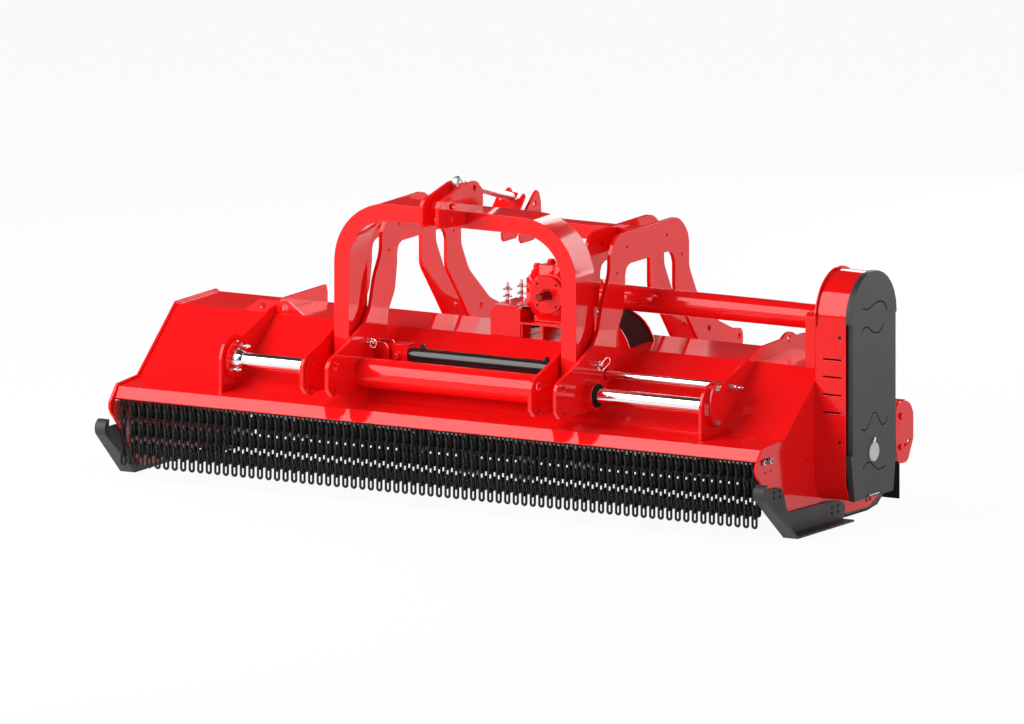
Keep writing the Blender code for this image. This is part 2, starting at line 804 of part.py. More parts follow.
def gusset(name, distance, with_eye):
    low = from_left(distance - GUSSET / 2)
    holes = [circle((GUIDE_Y, GUIDE_Z), GUIDE_ROD_R + GAP)]
    if with_eye:
        holes.append(circle((EYE_Y, GUSSET_TOP), EYE_HOLE_R, 10))
        holes.append(circle((CYLINDER_Y, CYLINDER_Z), PISTON_ROD_R + RUNNING))
    base = plate(name, "X", gusset_outline(with_eye), low, low + GUSSET, "red_paint", holes)
    if with_eye:
        return base
    return joined(base, stiffening_rib(low + GUSSET / 2))


def stiffening_rib(middle):
    """A cross rib on the hood's flat, with a round hole and a slanted edge on each side."""
    foot = HOOD_HEIGHT + GAP
    top = GUSSET_TOP - RUNNING
    outline = [
        (middle - RIB_REACH, foot),
        (middle + RIB_REACH, foot),
        (middle + RIB_REACH / 2, top),
        (middle - RIB_REACH / 2, top),
    ]
    height = (foot + top) / 2
    holes = [circle((middle + side * RIB_HOLE_ASIDE, height), RIB_HOLE_R, 10) for side in (-1, 1)]
    return plate("rib", "Y", outline, RIB_Y, RIB_Y + RIB_SHEET, "red_paint", holes)


def guide_rod():
    left = (from_left(GUSSET_LEFT - GUSSET / 2), GUIDE_Y, GUIDE_Z)
    right = (from_left(GUSSET_RIGHT + GUSSET / 2), GUIDE_Y, GUIDE_Z)
    return rod("guide_rod", left, right, GUIDE_ROD_R, "bright_steel")


def rod_flange():
    """The round flange that clamps the guide rod to the left rod plate, with its long bolts."""
    face = from_left(GUSSET_LEFT + GUSSET / 2) + GAP
    bore = GUIDE_ROD_R + GAP
    profile = [(0, bore), (0, ROD_FLANGE_R), (ROD_FLANGE_DEPTH, ROD_FLANGE_R), (ROD_FLANGE_DEPTH, bore)]
    start = (face, GUIDE_Y, GUIDE_Z)
    base = turned("rod_flange", start, (1, 0, 0), profile, "red_paint", hollow=True)
    return joined(base, *rod_bolts(face, face + ROD_FLANGE_DEPTH, ROD_BOLT_LONG))


def rod_cap():
    """The cap over the rod's right end, bolted to the right rod plate."""
    face = from_left(GUSSET_RIGHT + GUSSET / 2) + GAP
    profile = [(0, ROD_FLANGE_R), (ROD_FLANGE_DEPTH, ROD_FLANGE_R), (ROD_FLANGE_DEPTH, 0)]
    start = (face, GUIDE_Y, GUIDE_Z)
    base = turned("rod_cap", start, (1, 0, 0), [(0, 0), *profile], "red_paint")
    return joined(base, *rod_bolts(face, face + ROD_FLANGE_DEPTH, ROD_BOLT_SHORT))


def rod_bolts(low, high, length):
    bolts = []
    for index in range(ROD_BOLTS):
        y, z = on_circle((GUIDE_Y, GUIDE_Z), ROD_BOLT_PCD_R, 90 + 360 * index / ROD_BOLTS)
        start = ((low + high) / 2, y, z)
        bolts.append(rod("bolt", start, (high + length, y, z), ROD_BOLT_R, "zinc_steel", 6))
    return bolts


def counter_knife():
    """The counter blade that the hammers work against, under the slope of the hood."""
    left = from_left(END_PLATE + GAP)
    right = from_left(HOUSING_WIDTH - END_PLATE - GAP)
    y = ROTOR_Y - ROTOR_REACH - KNIFE_FROM_REACH
    z = ROTOR_Z + KNIFE_RISE
    slope = (HOOD_HEIGHT - SHELF_Z) / SLOPE_RUN
    ceiling = hood_height(y) - SHEET * math.hypot(1.0, slope) - GAP
    outline = [
        (y, z),
        (y + KNIFE_DEPTH, z),
        (y + KNIFE_WALL, z + KNIFE_FOOT),
        (y + KNIFE_WALL, ceiling),
        (y, ceiling),
    ]
    return plate("counter_knife", "X", outline, left, right, "raw_steel")


# Skids

def skid_band(line):
    """A folded band under a line of its outer face."""
    return line + offset_line(line, SOLE)[::-1]


def front_skid(name, face, outward):
    """A side plate with two bolted lugs, and a sole and a nose folded outwards from it."""
    nose = (SKID_FRONT_Y - SKID_NOSE, SKID_NOSE)
    curl = (nose[0] - SKID_CURL[0], nose[1] + SKID_CURL[1])
    line = [curl, nose, (SKID_FRONT_Y, 0.0), (SKID_REAR_Y, 0.0)]
    sides = sorted((face, face + outward * SOLE_WIDTH))
    sole = plate(name, "X", skid_band(line), sides[0], sides[1], "dark_steel")
    inset = 4 * SOLE_SINK
    wall = [(nose[0] + inset, nose[1] - inset + SOLE_SINK), (SKID_FRONT_Y, SOLE_SINK)]
    wall += [(SKID_REAR_Y + back, SKID_LUG_TOP - drop) for back, drop in FRONT_SKID_HEEL]
    wall += [(SKID_FRONT_Y + back, SKID_LUG_TOP - drop) for back, drop in FRONT_SKID_RISE]
    wall += [(SKID_FRONT_Y + back, SKID_NOSE - drop) for back, drop in FRONT_SKID_LUG]
    holes = [(SKID_FRONT_Y + back, SKID_NOSE - drop) for back, drop in FRONT_SKID_HOLES]
    holes += [(SKID_REAR_Y - back, SKID_LUG_TOP - drop) for back, drop in LUG_HOLES]
    return joined(sole, skid_wall(face, outward, wall, holes))


def skid_wall(face, outward, outline, holes):
    low, high = sorted((face + outward * WALL_INSET, face + outward * SKID_PLATE))
    loops = [circle(place, SKID_HOLE_R, 6) for place in holes]
    return plate("wall", "X", outline, low, high, "dark_steel", loops)


def rear_skid(name, face, outward):
    """A shorter skid with its tail turned up towards the tailgate."""
    end = REAR_SKID_Y + REAR_SKID_LENGTH
    tip = end + REAR_SKID_TAIL
    line = [(REAR_SKID_Y, 0.0), (end, 0.0), (tip, REAR_SKID_RISE)]
    sides = sorted((face, face + outward * SOLE_WIDTH))
    sole = plate(name, "X", skid_band(line), sides[0], sides[1], "dark_steel")
    tip_inset, tip_rise, crest_inset, front_inset = REAR_SKID_WALL
    wall = [
        (REAR_SKID_Y + WALL_INSET, SOLE_SINK),
        (end, SOLE_SINK),
        (tip - tip_inset, REAR_SKID_RISE + SOLE_SINK),
        (tip - tip_rise, REAR_SKID_RISE + tip_rise),
        (end - crest_inset, SKID_LUG_TOP),
        (REAR_SKID_Y + front_inset, SKID_LUG_TOP),
    ]
    front = REAR_SKID_Y + REAR_LUG_INSET
    holes = [(front + back, SKID_LUG_TOP - drop) for back, drop in LUG_HOLES]
    return joined(sole, skid_wall(face, outward, wall, holes))


# Rotor, bearings and pulleys

def hammer(x, angle):
    """One hammer knife in its lug block, pointing outwards at an angle round the rotor."""
    root = ROTOR_TUBE_R - LUG_ROOT
    lug_top = ROTOR_TUBE_R + LUG_HEIGHT
    half_neck = HAMMER_NECK / 2
    half_head = HAMMER_HEAD / 2
    shank = lug_top + HAMMER_SHANK
    flare = shank + HAMMER_FLARE
    outline = [
        (-half_neck, lug_top - LUG_ROOT),
        (half_neck, lug_top - LUG_ROOT),
        (half_neck, shank),
        (half_head, flare),
        (half_head, ROTOR_REACH),
        (-half_head, ROTOR_REACH),
        (-half_head, flare),
        (-half_neck, shank),
    ]
    knife = plate("knife", "Y", outline, -HAMMER_THICK / 2, HAMMER_THICK / 2, "raw_steel")
    reach = half_neck + LUG_THICK
    half_lug = LUG_DEPTH / 2
    lugs = block("lugs", (-reach, -half_lug, root), (reach, half_lug, lug_top), "raw_steel")
    whole = joined(knife, lugs)
    place = Matrix.Translation((x, ROTOR_Y, ROTOR_Z))
    whole.data.transform(place @ Matrix.Rotation(angle, 4, "X"))
    return whole


def rotor():
    left = from_left(END_PLATE + ROTOR_END_GAP)
    right = from_left(HOUSING_WIDTH - END_PLATE - ROTOR_END_GAP)
    shaft_left = from_left(-BEARING_DEPTH + BORE_AIR)
    shaft_right = from_left(HOUSING_WIDTH + CASE_DEPTH - SHAFT_END_SHORT)
    profile = [
        (shaft_left, 0),
        (shaft_left, ROTOR_SHAFT_R),
        (left, ROTOR_SHAFT_R),
        (left, ROTOR_TUBE_R),
        (right, ROTOR_TUBE_R),
        (right, ROTOR_SHAFT_R),
        (shaft_right, ROTOR_SHAFT_R),
        (shaft_right, 0),
    ]
    base = turned("rotor", (0, ROTOR_Y, ROTOR_Z), (1, 0, 0), profile, "raw_steel")
    pitch = (right - left - HAMMER_HEAD - 2 * HAMMER_MARGIN) / (HAMMERS - 1)
    hammers = []
    for index in range(HAMMERS):
        x = left + HAMMER_HEAD / 2 + HAMMER_MARGIN + index * pitch
        angle = math.pi * (index % 2) + 2 * math.pi * index / HAMMERS
        hammers.append(hammer(x, angle))
    return joined(base, gathered("hammers", hammers, "raw_steel"))


def bearing(name, face, outward):
    """A flanged bearing housing, bolted to the outside of an end plate."""
    bore = running_bore(ROTOR_SHAFT_R)
    profile = [
        (GAP, bore),
        (GAP, BEARING_R),
        (BEARING_RIM, BEARING_R),
        (BEARING_STEP, BEARING_SHOULDER_R),
        (BEARING_DEPTH, BEARING_NECK_R),
        (BEARING_DEPTH, bore),
    ]
    start = (face, ROTOR_Y, ROTOR_Z)
    return turned(name, start, (outward, 0, 0), profile, "cast_iron", hollow=True)


def pulley(name, z, radius, bore):
    """A grooved belt pulley with a web thinner than its rim."""
    groove = PULLEY_WIDTH / BELTS
    hub = bore + PULLEY_HUB
    rim = radius - PULLEY_RIM
    profile = [(0, bore), (0, hub), (WEB_INSET, hub), (WEB_INSET, rim), (0, rim)]
    for index in range(BELTS):
        start = groove * index
        profile += [(start, radius), (start + groove / 2, radius - GROOVE_DEPTH)]
    profile += [(PULLEY_WIDTH, radius), (PULLEY_WIDTH, bore)]
    start = (pulley_face(), ROTOR_Y, z)
    return turned(name, start, (1, 0, 0), profile, "cast_iron", hollow=True)


def pulley_face():
    return from_left(HOUSING_WIDTH) + BEARING_DEPTH + PULLEY_AIR


def drive_belt():
    """The V belts as one band, lying on the two pulleys."""
    small = LOWER_PULLEY_R + BELT_RIDE
    large = UPPER_PULLEY_R + BELT_RIDE
    low = pulley_face() + BELT_INSET
    high = low + PULLEY_WIDTH - 2 * BELT_INSET
    inner = belt_line(small, large)
    outer = belt_line(small + BELT_THICK, large + BELT_THICK)
    return plate("drive_belt", "X", outer, low, high, "rubber", [inner])


def belt_line(small, large):
    """The line of a belt round both pulleys: two arcs joined by their common tangents."""
    tilt = math.degrees(math.asin((large - small) / (DRIVE_Z - ROTOR_Z)))
    upper = arc((ROTOR_Y, DRIVE_Z), large, -tilt, 180 + tilt, 12)
    lower = arc((ROTOR_Y, ROTOR_Z), small, 180 + tilt, 360 - tilt, 10)
    return upper + lower


# Gearbox and drive line

def gearbox_case():
    """A drum across the machine's length, hollow, with a neck towards the drive tube and a foot."""
    x = from_left(GEARBOX_FROM_LEFT)
    start = (x, ROTOR_Y - GEARBOX_LENGTH / 2, DRIVE_Z)
    rim = GEARBOX_R - GEARBOX_CHAMFER
    shell = [
        (0, 0),
        (0, rim),
        (GEARBOX_CHAMFER, GEARBOX_R),
        (GEARBOX_LENGTH - GEARBOX_CHAMFER, GEARBOX_R),
        (GEARBOX_LENGTH, rim),
        (GEARBOX_LENGTH, 0),
    ]
    base = turned("gearbox_case", start, (0, 1, 0), shell, "red_paint", 20)
    neck_end = x + GEARBOX_R + NECK_LENGTH
    neck_start = (x + NECK_START, ROTOR_Y, DRIVE_Z)
    neck = rod("neck", neck_start, (neck_end, ROTOR_Y, DRIVE_Z), NECK_R, "red_paint")
    half = GEARBOX_FOOT_HALF
    foot_low = (x - half, ROTOR_Y - half, STAND_PLATE_Z + GAP)
    foot = block("foot", foot_low, (x + half, ROTOR_Y + half, DRIVE_Z - GEARBOX_FOOT_TOP), "red_paint")
    crest_low = (x - CREST_LEFT, ROTOR_Y - CREST_HALF, DRIVE_Z + rim - GEARBOX_CHAMFER)
    crest_high = (x + CREST_RIGHT, ROTOR_Y + CREST_HALF, DRIVE_Z + CREST_TOP)
    crest = block("crest", crest_low, crest_high, "red_paint")
    plug_x = x + CREST_RIGHT
    plug_low = (plug_x, ROTOR_Y, DRIVE_Z + GEARBOX_R - 2 * GEARBOX_CHAMFER)
    plug = rod("plug", plug_low, (plug_x, ROTOR_Y, DRIVE_Z + PLUG_TOP), PLUG_R, "zinc_steel", 6)
    joined(base, neck, foot, crest, plug)
    return cut(base, *gearbox_hollows(x, neck_end))


def gearbox_hollows(x, neck_end):
    room = GEARBOX_LENGTH / 2 - GEARBOX_WALL
    front = (x, ROTOR_Y - room, DRIVE_Z)
    chamber = rod("chamber", front, (x, ROTOR_Y + room, DRIVE_Z), CROWN_R + CHAMBER_AIR, "red_paint", 12)
    reach = GEARBOX_LENGTH / 2 + CUT_OVER
    front = (x, ROTOR_Y - reach, DRIVE_Z)
    bore = running_bore(INPUT_SHAFT_R)
    through = rod("through", front, (x, ROTOR_Y + reach, DRIVE_Z), bore, "red_paint")
    inside = (x + CUT_OVER, ROTOR_Y, DRIVE_Z)
    outside = (neck_end + CUT_OVER, ROTOR_Y, DRIVE_Z)
    side = rod("side", inside, outside, PINION_R + BORE_AIR, "red_paint")
    return chamber, through, side


def gearbox_flange(name, outward):
    """A round bolted flange, on one end of the gearbox."""
    centre = (from_left(GEARBOX_FROM_LEFT), DRIVE_Z)
    face = ROTOR_Y + outward * (GEARBOX_LENGTH / 2 + GAP)
    low, high = sorted((face, face + outward * FLANGE_DEPTH))
    holes = [circle(centre, running_bore(INPUT_SHAFT_R))]
    for index in range(FLANGE_HOLES):
        angle = 360 * (index + 0.5) / FLANGE_HOLES
        holes.append(circle(on_circle(centre, FLANGE_HOLE_PCD_R, angle), FLANGE_HOLE_R, 5))
    return plate(name, "Y", circle(centre, FLANGE_R), low, high, "red_paint", holes)


def input_shaft():
    """The through shaft, splined at both ends so that the machine works both ways round."""
    x = from_left(GEARBOX_FROM_LEFT)
    inside = GEARBOX_LENGTH / 2 + FLANGE_DEPTH + SHAFT_STEP
    reach = GEARBOX_LENGTH / 2 + FLANGE_DEPTH + INPUT_STUB
    start = (x, ROTOR_Y - inside, DRIVE_Z)
    base = rod("input_shaft", start, (x, ROTOR_Y + inside, DRIVE_Z), INPUT_SHAFT_R, "raw_steel")
    ends = []
    for outward in (-1, 1):
        root = ROTOR_Y + outward * (inside - SHAFT_STEP / 2)
        low, high = sorted((root, ROTOR_Y + outward * reach))
        ends.append(plate("spline", "Y", spline_outline(x), low, high, "raw_steel"))
    return joined(base, *ends)


def spline_outline(x):
    points = []
    step = 360 / SPLINES
    crest = INPUT_SHAFT_R - SPLINE_INSET
    for index in range(SPLINES):
        middle = index * step
        tooth = (middle - step * SPLINE_TOOTH, middle + step * SPLINE_TOOTH)
        root = (middle + step * SPLINE_ROOT[0], middle + step * SPLINE_ROOT[1])
        points += arc((x, DRIVE_Z), crest, *tooth, 1)
        points += arc((x, DRIVE_Z), crest - SPLINE_DEPTH, *root, 1)
    return points


def bevel_gears():
    """The crown gear and the bevel pinion, as their pitch cones."""
    centre = (from_left(GEARBOX_FROM_LEFT), ROTOR_Y, DRIVE_Z)
    bore = INPUT_SHAFT_R + GAP
    back = PINION_R + BORE_AIR
    crown_profile = [
        (back, bore),
        (back, CROWN_R),
        (back - CROWN_DEPTH, CROWN_R - CROWN_SLANT),
        (back - CROWN_DEPTH, bore),
    ]
    crown = turned("crown_gear", centre, (0, 1, 0), crown_profile, "raw_steel", 20, hollow=True)
    bore = DRIVE_SHAFT_R + GAP
    wide = PINION_R - PINION_SLANT / 2
    pinion_profile = [
        (pinion_start(), bore),
        (pinion_start(), wide - PINION_SLANT),
        (pinion_start() + PINION_DEPTH, wide),
        (pinion_start() + PINION_DEPTH, bore),
    ]
    pinion = turned("bevel_pinion", centre, (1, 0, 0), pinion_profile, "raw_steel", hollow=True)
    return crown, pinion


def pinion_start():
    """Distance of the pinion's small end from the input shaft's axis."""
    return CROWN_R - PINION_DEPTH + BELT_RIDE


def drive_shaft():
    start = (from_left(GEARBOX_FROM_LEFT) + pinion_start(), ROTOR_Y, DRIVE_Z)
    end = (pulley_face() + PULLEY_WIDTH + SHAFT_STEP, ROTOR_Y, DRIVE_Z)
    return rod("drive_shaft", start, end, DRIVE_SHAFT_R, "raw_steel")


def drive_tube():
    start = from_left(GEARBOX_FROM_LEFT) + GEARBOX_R + NECK_LENGTH + GAP
    length = from_left(HOUSING_WIDTH - BRACKET_WIDTH) - GAP - start
    inner = DRIVE_TUBE_R - DRIVE_TUBE_WALL
    profile = [
        (0, inner),
        (0, NECK_R),
        (COLLAR_DEPTH, NECK_R),
        (COLLAR_DEPTH, DRIVE_TUBE_R),
        (length, DRIVE_TUBE_R),
        (length, inner),
    ]
    place = (start, ROTOR_Y, DRIVE_Z)
    return turned("drive_tube", place, (1, 0, 0), profile, "red_paint", 20, hollow=True)


def drive_tube_bracket():
    """The bracket on the hood's flat that holds the tube beside the belt case."""
    high = from_left(HOUSING_WIDTH - GAP)
    low = high - BRACKET_WIDTH
    front = ROTOR_Y - CASE_R
    rear = ROTOR_Y + CASE_R
    foot = HOOD_HEIGHT + PROUD + GAP
    corners = [
        (front, foot, 0.0),
        (rear, foot, 0.0),
        (rear - BRACKET_CHAMFER, BRACKET_TOP, CASE_FRONT_CORNER),
        (front, BRACKET_TOP, CASE_FRONT_CORNER / 2),
    ]
    hole = circle((ROTOR_Y, DRIVE_Z), DRIVE_SHAFT_R + BORE_AIR)
    return plate("drive_tube_bracket", "X", rounded(corners), low, high, "red_paint", [hole])


def gearbox_stand():
    """The table under the gearbox, with its legs and the box pedestal beside it."""
    left = from_left(STAND_LEFT)
    right = left + STAND_WIDTH
    rear = STAND_FRONT_Y + STAND_DEPTH
    foot = HOOD_HEIGHT + GAP
    top_low = (left, STAND_FRONT_Y, STAND_PLATE_Z - STAND_PLATE)
    top = block("gearbox_stand", top_low, (right, rear, STAND_PLATE_Z), "red_paint")
    shapes = []
    for x in (left + STAND_INSET, left + STAND_MIDDLE_LEG, right - STAND_PLATE - STAND_INSET):
        low = (x, STAND_FRONT_Y + STAND_INSET, foot)
        high = (x + STAND_PLATE, rear - STAND_INSET, STAND_PLATE_Z - STAND_PLATE / 2)
        shapes.append(block("leg", low, high, "red_paint"))
    low = (left - PEDESTAL_WIDTH, STAND_FRONT_Y + WALL_INSET, foot)
    high = (left + STAND_PLATE, STAND_FRONT_Y + PEDESTAL_DEPTH, foot + PEDESTAL_HEIGHT)
    shapes.append(block("pedestal", low, high, "red_paint"))
    shapes += [pedestal_stud(aside, back) for aside, back in STUD_PLACES]
    return joined(top, *shapes)


def pedestal_stud(aside, back):
    """A threaded stud with two flanged nuts, standing on the pedestal."""
    x = from_left(STAND_LEFT) - aside
    y = STAND_FRONT_Y + back
    base = HOOD_HEIGHT + GAP + PEDESTAL_HEIGHT
    profile = [(-SINK, 0), (-SINK, STUD_R)]
    for height in STUD_NUTS:
        top = height + NUT_DEPTH
        profile += [(height, STUD_R), (height, NUT_R), (top, NUT_R), (top, STUD_R)]
    profile += [(STUD_HEIGHT, STUD_R), (STUD_HEIGHT, 0)]
    return turned("stud", (x, y, base), (0, 0, 1), profile, "red_paint", 6)


# Belt case

def case_outline(half_width, bottom, foot_inset):
    foot = bottom + CASE_FOOT_RISE
    return arc((ROTOR_Y, top_centre()), half_width, 0, 180, 12) + [
        (ROTOR_Y - half_width, foot),
        (ROTOR_Y - half_width + foot_inset, bottom),
        (ROTOR_Y + half_width - foot_inset, bottom),
        (ROTOR_Y + half_width, foot),
    ]


def top_centre():
    return DRIVE_Z + CASE_TOP_OVER


def belt_case():
    """An open tray with an obround outline, slotted at its front for cooling air."""
    low = from_left(HOUSING_WIDTH) + GAP
    high = low + CASE_DEPTH
    outer = case_outline(CASE_R, CASE_BOTTOM, CASE_FRONT_CORNER)
    wall = case_outline(CASE_R - CASE_WALL, CASE_BOTTOM + CASE_WALL, CASE_FRONT_CORNER)
    base = plate("belt_case", "X", outer, low, high, "red_paint")
    room = plate("room", "X", wall, low + CASE_WALL, high + CUT_OVER, "red_paint")
    cutters = [room, *case_slots(low)]
    for z, radius, sides in ((ROTOR_Z, BEARING_R, 20), (DRIVE_Z, DRIVE_SHAFT_R, 12)):
        start = (low - CUT_OVER, ROTOR_Y, z)
        end = (low + CUT_OVER, ROTOR_Y, z)
        cutters.append(rod("hole", start, end, radius + BORE_AIR, "red_paint", sides))
    return cut(base, *cutters)


def case_slots(low):
    front = ROTOR_Y - CASE_R
    start = low + SLOT_INSET
    slots = []
    for index in range(CASE_SLOTS):
        z = SLOT_TOP_Z - SLOT_PITCH * index
        slot_low = (start, front - CUT_OVER, z)
        slot_high = (start + SLOT_LENGTH, front + CUT_OVER, z + SLOT_HEIGHT)
        slots.append(block("slot", slot_low, slot_high, "red_paint"))
    return slots


def belt_cover():
    """The lid of the belt case, with a waist that leaves the case's edge showing."""
    low = from_left(HOUSING_WIDTH) + GAP + CASE_DEPTH + GAP
    half = CASE_R + COVER_OVERLAP
    waist = half - COVER_STEP
    rear_waist = waist + COVER_REAR_STEP
    outline = arc((ROTOR_Y, top_centre()), half, 0, 180, 14) + [
        (ROTOR_Y - half, COVER_STEP_TOP),
        (ROTOR_Y - waist, COVER_STEP_TOP),
        (ROTOR_Y - waist, COVER_STEP_BOTTOM),
        (ROTOR_Y - half, COVER_STEP_BOTTOM),
        (ROTOR_Y - half + COVER_FOOT_FRONT, COVER_FOOT_Z),
        (ROTOR_Y + half - COVER_FOOT_REAR, COVER_FOOT_Z),
        (ROTOR_Y + half, COVER_STEP_BOTTOM),
        (ROTOR_Y + rear_waist, COVER_STEP_BOTTOM),
        (ROTOR_Y + rear_waist, COVER_STEP_TOP),
        (ROTOR_Y + half, COVER_STEP_TOP),
    ]
    thick = cover_face() - low
    cover = plate("belt_cover", "X", outline, low, low + thick, "dark_steel")
    inner = case_outline(waist - COVER_SHEET, COVER_FOOT_Z + 3 * COVER_SHEET, CASE_FRONT_CORNER)
    room = plate("room", "X", inner, low - CUT_OVER, low + thick - CASE_WALL, "dark_steel")
    return cut(cover, room)


def inspection_disc():
    """A small round shutter over the rotor's shaft end, which swings on a pin above it."""
    low = cover_face() + GAP
    high = low + DISC_THICK
    pin_z = ROTOR_Z + DISC_PIVOT_UP
    start = (low, ROTOR_Y, ROTOR_Z)
    disc = rod("inspection_disc", start, (high, ROTOR_Y, ROTOR_Z), DISC_R, "pale_steel", 20)
    half = DISC_HEAD_R - RUNNING
    tab = block("tab", (low, ROTOR_Y - half, ROTOR_Z), (high, ROTOR_Y + half, pin_z), "pale_steel")
    start = ((low + high) / 2, ROTOR_Y, pin_z)
    end = (high + DISC_HEAD, ROTOR_Y, pin_z)
    return joined(disc, tab, rod("head", start, end, DISC_HEAD_R, "pale_steel", 8))


def cover_face():
    return from_left(HOUSING_WIDTH) + CASE_OUTER_FACE - DISC_THICK - DISC_HEAD - GAP


# Tailgate

def tailgate():
    """The adjustable rear door: a bent sheet with a web at each end, inside the end plates."""
    outline = tailgate_line() + offset_line(tailgate_line(), -TAILGATE_SHEET)[::-1]
    left = from_left(END_PLATE + GAP)
    right = from_left(HOUSING_WIDTH - END_PLATE - GAP)
    base = plate("tailgate", "X", outline, left, right, "red_paint")
    ends = tailgate_end(left, -1) + tailgate_end(right, 1)
    return joined(base, *ends)


def tailgate_line():
    top_in, top_up = TAILGATE_TOP
    return [
        (TAILGATE_Y - top_in, PIVOT_Z + top_up),
        (TAILGATE_Y, PIVOT_Z + TAILGATE_FOLD_UP),
        (TAILGATE_Y, PIVOT_Z - TAILGATE_FOLD_DOWN),
        (TAILGATE_Y - TAILGATE_FOOT_IN, TAILGATE_BOTTOM),
    ]


def tailgate_end(face, outward):
    """One web, with its pivot pin and its clamp bolt reaching out through the fixed ear."""
    front = PIVOT_Y - WEB_FRONT
    inset = [(y - WEB_INSET_Y, z, 0.0) for y, z in reversed(tailgate_line())]
    corners = [(front, PIVOT_Z + WEB_FRONT, JAW_R), (front, PIVOT_Z - WEB_BOTTOM, JAW_R), *inset]
    low, high = sorted((face, face - outward * TAILGATE_SHEET))
    shapes = [plate("web", "X", rounded(corners), low, high, "red_paint")]
    pivot = (PIVOT_Y, PIVOT_Z)
    clamp = on_circle(pivot, GUIDE_ARC_R, GUIDE_ARC_LOW + GUIDE_ARC_REST)
    reach = END_PLATE + TAILGATE_EAR + 3 * GAP
    for place, radius in ((pivot, PIVOT_R), (clamp, GUIDE_BOLT_R)):
        head = radius + BOLT_HEAD
        profile = [
            (-SOLE_SINK, 0),
            (-SOLE_SINK, radius),
            (reach, radius),
            (reach, head),
            (reach + BOLT_HEAD_DEPTH, head),
            (reach + BOLT_HEAD_DEPTH, 0),
        ]
        shapes.append(turned("bolt", (face, *place), (outward, 0, 0), profile, "red_paint", 8))
    return shapes


def tailgate_ear(name, face, outward):
    """A plate on the outside of an end plate, with the pivot hole and the door's curved slot."""
    front = PIVOT_Y - EAR_FRONT
    rear = TAILGATE_Y + EAR_REAR
    bottom = TAILGATE_BOTTOM - EAR_BELOW
    waist, hip, chest = EAR_WAIST
    corners = [
        (front, PIVOT_Z - waist, JAW_R),
        (front + JAW_R, bottom, JAW_R),
        (rear - TAILGATE_FOOT_IN, bottom, JAW_R),
        (rear, PIVOT_Z - hip, JAW_R),
        (rear, PIVOT_Z + chest, 2 * JAW_R),
        (rear - EAR_CUT, PIVOT_Z + EAR_TOP, 2 * JAW_R),
        (front, PIVOT_Z + EAR_TOP, JAW_R),
    ]
    low, high = sorted((face, face + outward * TAILGATE_EAR))
    pivot_hole = circle((PIVOT_Y, PIVOT_Z), running_bore(PIVOT_R, 8), 8)
    holes = [guide_slot(GUIDE_BOLT_R + RUNNING), pivot_hole]
    return plate(name, "X", rounded(corners), low, high, "dark_steel", holes)


def rear_flap():
    """The rubber flap below the tailgate, clear of the ground."""
    inset = END_PLATE + TAILGATE_SHEET + WEB_INSET_Y
    low = (from_left(inset), flap_face(), FLAP_BOTTOM)
    high = (from_left(HOUSING_WIDTH - inset), flap_face() + FLAP, TAILGATE_BOTTOM + FLAP_OVERLAP)
    return block("rear_flap", low, high, "rubber")


def flap_face():
    return TAILGATE_Y - TAILGATE_FOOT_IN - TAILGATE_SHEET - FLAP_AIR - FLAP


def flap_strip():
    """The steel strip that clamps the rubber flap to the tailgate."""
    front = flap_face() - GAP - STRIP
    low = (from_left(STRIP_INSET), front, TAILGATE_BOTTOM)
    high = (from_left(HOUSING_WIDTH - STRIP_INSET), front + STRIP, TAILGATE_BOTTOM + STRIP_HEIGHT)
    return block("flap_strip", low, high, "raw_steel")


# Chain rows

def strand_sections(x, y, links, swells):
    """Cross sections down one strand: the wire at its rod, then swells that turn a quarter each."""
    half_wide = LINK_WIDTH / 2
    half_thin = LINK_WIRE / 2
    length = LINK_PITCH * links + LINK_WIRE
    sections = [(x, y, CHAIN_ROD_Z, half_thin / 2, half_thin / 2)]
    for index in range(swells):
        z = CHAIN_ROD_Z - length * (index + 1) / swells
        face_on = (swells - 1 - index) % 2 == 0
        wide, deep = (half_wide, half_thin) if face_on else (half_thin, half_wide)
        sections.append((x, y, z, wide, deep))
    return sections


def strand(bm, sections):
    rings = []
    for x, y, z, wide, deep in sections:
        corners = ((-wide, -deep), (wide, -deep), (wide, deep), (-wide, deep))
        rings.append([bm.verts.new((x + a, y + b, z)) for a, b in corners])
    for upper, lower in zip(rings, rings[1:]):
        for i in range(4):
            bm.faces.new((upper[i - 1], upper[i], lower[i], lower[i - 1]))
    bm.faces.new(rings[0])
    bm.faces.new(rings[-1])


def chain_row(name, y, links, pitch, swells):
    """A full-width row of guard chains, hung on its rod."""
    inner = HOUSING_WIDTH - 2 * (END_PLATE + CHAIN_MARGIN)
    count = int(inner / pitch) + 1
    first = HOUSING_WIDTH / 2 - pitch * (count - 1) / 2
    bm = bmesh.new()
    for index in range(count):
        strand(bm, strand_sections(from_left(first + index * pitch), y, links, swells))
    strands = finish("strands", bm, "dark_steel")
    left = (from_left(-CHAIN_ROD_STUB), y, CHAIN_ROD_Z)
    right = (from_left(HOUSING_WIDTH + CHAIN_ROD_STUB), y, CHAIN_ROD_Z)
    return joined(rod(name, left, right, CHAIN_ROD_R, "dark_steel", 8), strands)


# Carriage

def hitch_plate_outline():
    """One hitch plate: front clevis, leg, top, leg and rear clevis in one piece."""
    corners = [(FRONT_REACH_Y + y, TOWER_FOOT + z, radius) for y, z, radius in PLATE_NOSE]
    corners += [(y, TOWER_TOP - z, radius) for y, z, radius in PLATE_FRONT_LEG + PLATE_CROWN]
    corners += [(REAR_REACH_Y + y, TOWER_TOP - z, radius) for y, z, radius in PLATE_TAIL]
    corners += [(y, TOWER_TOP - z, radius) for y, z, radius in PLATE_WINDOW]
    corners += [(y, TOWER_FOOT + z, radius) for y, z, radius in PLATE_SOLE]
    return rounded(corners)


